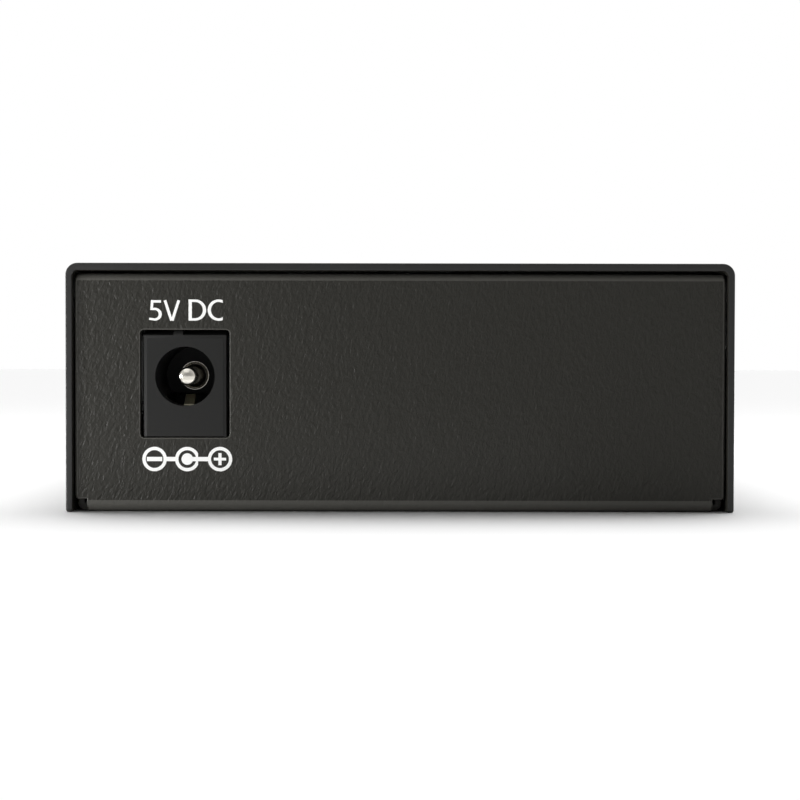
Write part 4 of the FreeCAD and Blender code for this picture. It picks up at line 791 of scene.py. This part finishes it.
class CONVERTER_OT_board(Operator):
    """Finish the circuit board and the parts soldered to it"""
    bl_idname = "converter.board"
    bl_label = "Circuit board"

    def execute(self, context):
        # Filled epoxy is a dull charcoal, drawn cans are bright, and pressed ferrite is matt.
        epoxy = moulded_plastic("moulded_epoxy", linear("#2b2b2d"), roughness=0.55, depth=0.01)
        tin = tinned_wire()
        can = plated_metal("drawn_can", linear("#d3d4d6"), roughness=0.28)
        ferrite = moulded_plastic("ferrite", linear("#47474a"), roughness=0.7, depth=0.02)
        coat_node("circuit_board", solder_mask("green_solder_mask"))
        for node in ("converter_chip", "lan_transformer", "voltage_regulator", "memory_chip",
                     "chip_components", "input_fuse", "input_diode"):
            coat_node(node, epoxy)
        for node in ("converter_chip_leads", "lan_transformer_leads"):
            coat_node(node, tin)
        for node in ("clock_crystal", "filter_capacitors"):
            coat_node(node, can)
        coat_node("power_inductor", ferrite)
        return {"FINISHED"}


class CONVERTER_OT_stage(Operator):
    """Set the floor, the lamps, the sky and the camera"""
    bl_idname = "converter.stage"
    bl_label = "Studio"

    def execute(self, context):
        settings = context.scene.converter_stage
        context.scene.view_settings.view_transform = "Standard"
        floor = self.add_floor()
        self.add_sky(context.scene, settings)
        self.add_lamps(settings, floor)
        self.add_camera(context.scene, settings)
        return {"FINISHED"}

    def add_floor(self):
        """A pale floor that is seen paler than it lights the case."""
        material, tree = new_material("studio_floor")
        seen = self.seen(tree, add_node(tree, "LightPath"))
        colour = add_node(tree, "MapRange", {"To Min": 0.85, "To Max": 0.98}, {"Value": seen})
        shader = add_node(tree, "BsdfDiffuse", links={"Color": colour.outputs["Result"]})
        add_node(tree, "OutputMaterial", links={"Surface": shader.outputs["BSDF"]})
        reach, drop = 2.0, 0.02 * MM
        mesh = bmesh.new()
        bmesh.ops.create_grid(mesh, x_segments=1, y_segments=1, size=reach,
                              matrix=Matrix.Translation((0, 0, CAD_BOX[0][2] - drop)))
        data = bpy.data.meshes.new("floor")
        mesh.to_mesh(data)
        mesh.free()
        data.materials.append(material)
        floor = bpy.data.objects.new("floor", data)
        bpy.context.scene.collection.objects.link(floor)
        return floor

    def seen(self, tree, path):
        """One for a ray of the lens, of a reflection or through glass, and nothing for others."""
        ray = path.outputs["Is Camera Ray"]
        for kind in ("Is Glossy Ray", "Is Transmission Ray"):
            both = add_node(tree, "Math", links={0: ray, 1: path.outputs[kind]},
                            operation="ADD", use_clamp=True)
            ray = both.outputs["Value"]
        return ray

    def add_sky(self, scene, settings):
        """White to the lens, dimmer behind the camera, and dimmer all round as a light."""
        world = bpy.data.worlds.new("studio")
        scene.world = world
        world.use_nodes = True
        tree = world.node_tree
        tree.nodes.clear()
        path = add_node(tree, "LightPath")
        seen = self.seen(tree, path)
        direction = add_node(tree, "TexCoord")
        axes = add_node(tree, "SeparateXYZ", links={"Vector": direction.outputs["Generated"]})
        around = add_node(tree, "MapRange", {"From Min": -0.95, "From Max": -0.6,
                                             "To Min": settings.front, "To Max": 1.0},
                          {"Value": axes.outputs["Y"]})
        share = add_node(tree, "MapRange", {"To Min": settings.fill, "To Max": 1.0},
                         {"Value": seen})
        lit = add_node(tree, "Math", links={0: around.outputs["Result"],
                                            1: share.outputs["Result"]}, operation="MULTIPLY")
        level = add_node(tree, "Math", links={0: lit.outputs["Value"],
                                              1: path.outputs["Is Camera Ray"]},
                         operation="MAXIMUM")
        sky = add_node(tree, "Background", {"Color": (1, 1, 1, 1)},
                       {"Strength": level.outputs["Value"]})
        add_node(tree, "OutputWorld", links={"Surface": sky.outputs["Background"]})

    def add_lamps(self, settings, floor):
        """A wide soft light from above and behind, and softboxes before and beside the case.

        Those before it don't light the floor, which keeps the case's shadow deep.
        """
        overhead = bpy.data.lights.new("overhead_light", "SUN")
        overhead.energy = settings.overhead
        overhead.angle = math.radians(53)
        self.stand_lamp(overhead, (0, 0.24, 0.6), (0, 0, 0))
        middle = 0.013
        lamps = [
            self.add_softbox("side_softbox", settings.key_power, (0.06, 0.02),
                             (-0.118, -0.096, middle), (-0.03, REAR, middle)),
            self.add_softbox("front_softbox", settings.front_power, (0.2, 0.2),
                             (-0.08, -0.33, 0.24), (0, REAR, middle)),
            self.add_softbox("foot_softbox", settings.foot_power, (0.056, 0.006),
                             (-0.008, REAR - 0.013, 0.0035), (-0.008, REAR, 0.006))]
        shaded = bpy.data.collections.new("shaded_from_the_front")
        shaded.objects.link(floor)
        shaded.collection_objects[0].light_linking.link_state = "EXCLUDE"
        for lamp in lamps:
            lamp.light_linking.receiver_collection = shaded
        for name, across in (("left_softbox", -0.24), ("right_softbox", 0.24)):
            self.add_softbox(name, settings.flank_power, (0.15, 0.15), (across, 0.05, 0.13),
                             (0, 0, middle))

    def add_softbox(self, name, power, size, place, target):
        """A rectangular lamp of a power in watts, with its width, height and place in metres."""
        light = bpy.data.lights.new(name, "AREA")
        light.energy = power
        light.shape = "RECTANGLE"
        light.size, light.size_y = size
        return self.stand_lamp(light, place, target)

    def stand_lamp(self, light, place, target):
        """Put a light at a place in metres, turned to a target and hidden from the lens."""
        lamp = bpy.data.objects.new(light.name, light)
        lamp.location = place
        lamp.rotation_euler = (Vector(target) - Vector(place)).to_track_quat("-Z", "Y").to_euler()
        lamp.visible_camera = False
        bpy.context.scene.collection.objects.link(lamp)
        return lamp

    def add_camera(self, scene, settings):
        """A long lens before the rear face, a little over the case and looking slightly down."""
        data = bpy.data.cameras.new("camera")
        data.lens = settings.lens
        data.sensor_width = 36
        data.clip_start = 0.01
        camera = bpy.data.objects.new("camera", data)
        dip = math.atan2(settings.height - settings.aim, settings.distance)
        camera.matrix_world = (
            Matrix.Translation((0, REAR - settings.distance, settings.height))
            @ Matrix.Rotation(math.pi / 2 - dip, 4, "X") @ Matrix.Rotation(settings.roll, 4, "Z"))
        scene.collection.objects.link(camera)
        scene.camera = camera


STEPS = (CONVERTER_OT_case, CONVERTER_OT_fasteners, CONVERTER_OT_power_jack, CONVERTER_OT_marks,
         CONVERTER_OT_network_socket, CONVERTER_OT_fibre_port, CONVERTER_OT_status_lamps,
         CONVERTER_OT_board, CONVERTER_OT_stage)


class CONVERTER_PT_steps(Panel):
    """Lists the steps that dress the converter"""
    bl_idname = "CONVERTER_PT_steps"
    bl_label = "Media converter"
    bl_space_type = "VIEW_3D"
    bl_region_type = "UI"
    bl_category = "Converter"

    def draw(self, context):
        for step in STEPS:
            self.layout.operator(step.bl_idname)


SETTINGS = {"converter_finish": FinishSettings, "converter_print": PrintSettings,
            "converter_stage": StageSettings}


def register():
    """Register the settings, the steps and the panel."""
    for group in (*SETTINGS.values(), *STEPS, CONVERTER_PT_steps):
        bpy.utils.register_class(group)
    for name, group in SETTINGS.items():
        setattr(bpy.types.Scene, name, PointerProperty(type=group))


def unregister():
    """Take back all that register added."""
    for name in SETTINGS:
        delattr(bpy.types.Scene, name)
    for group in reversed((*SETTINGS.values(), *STEPS, CONVERTER_PT_steps)):
        bpy.utils.unregister_class(group)


def main():
    """Register everything and run every step in order."""
    register()
    for step in STEPS:
        group, name = step.bl_idname.split(".")
        getattr(getattr(bpy.ops, group), name)()


if __name__ == "__main__":
    main()
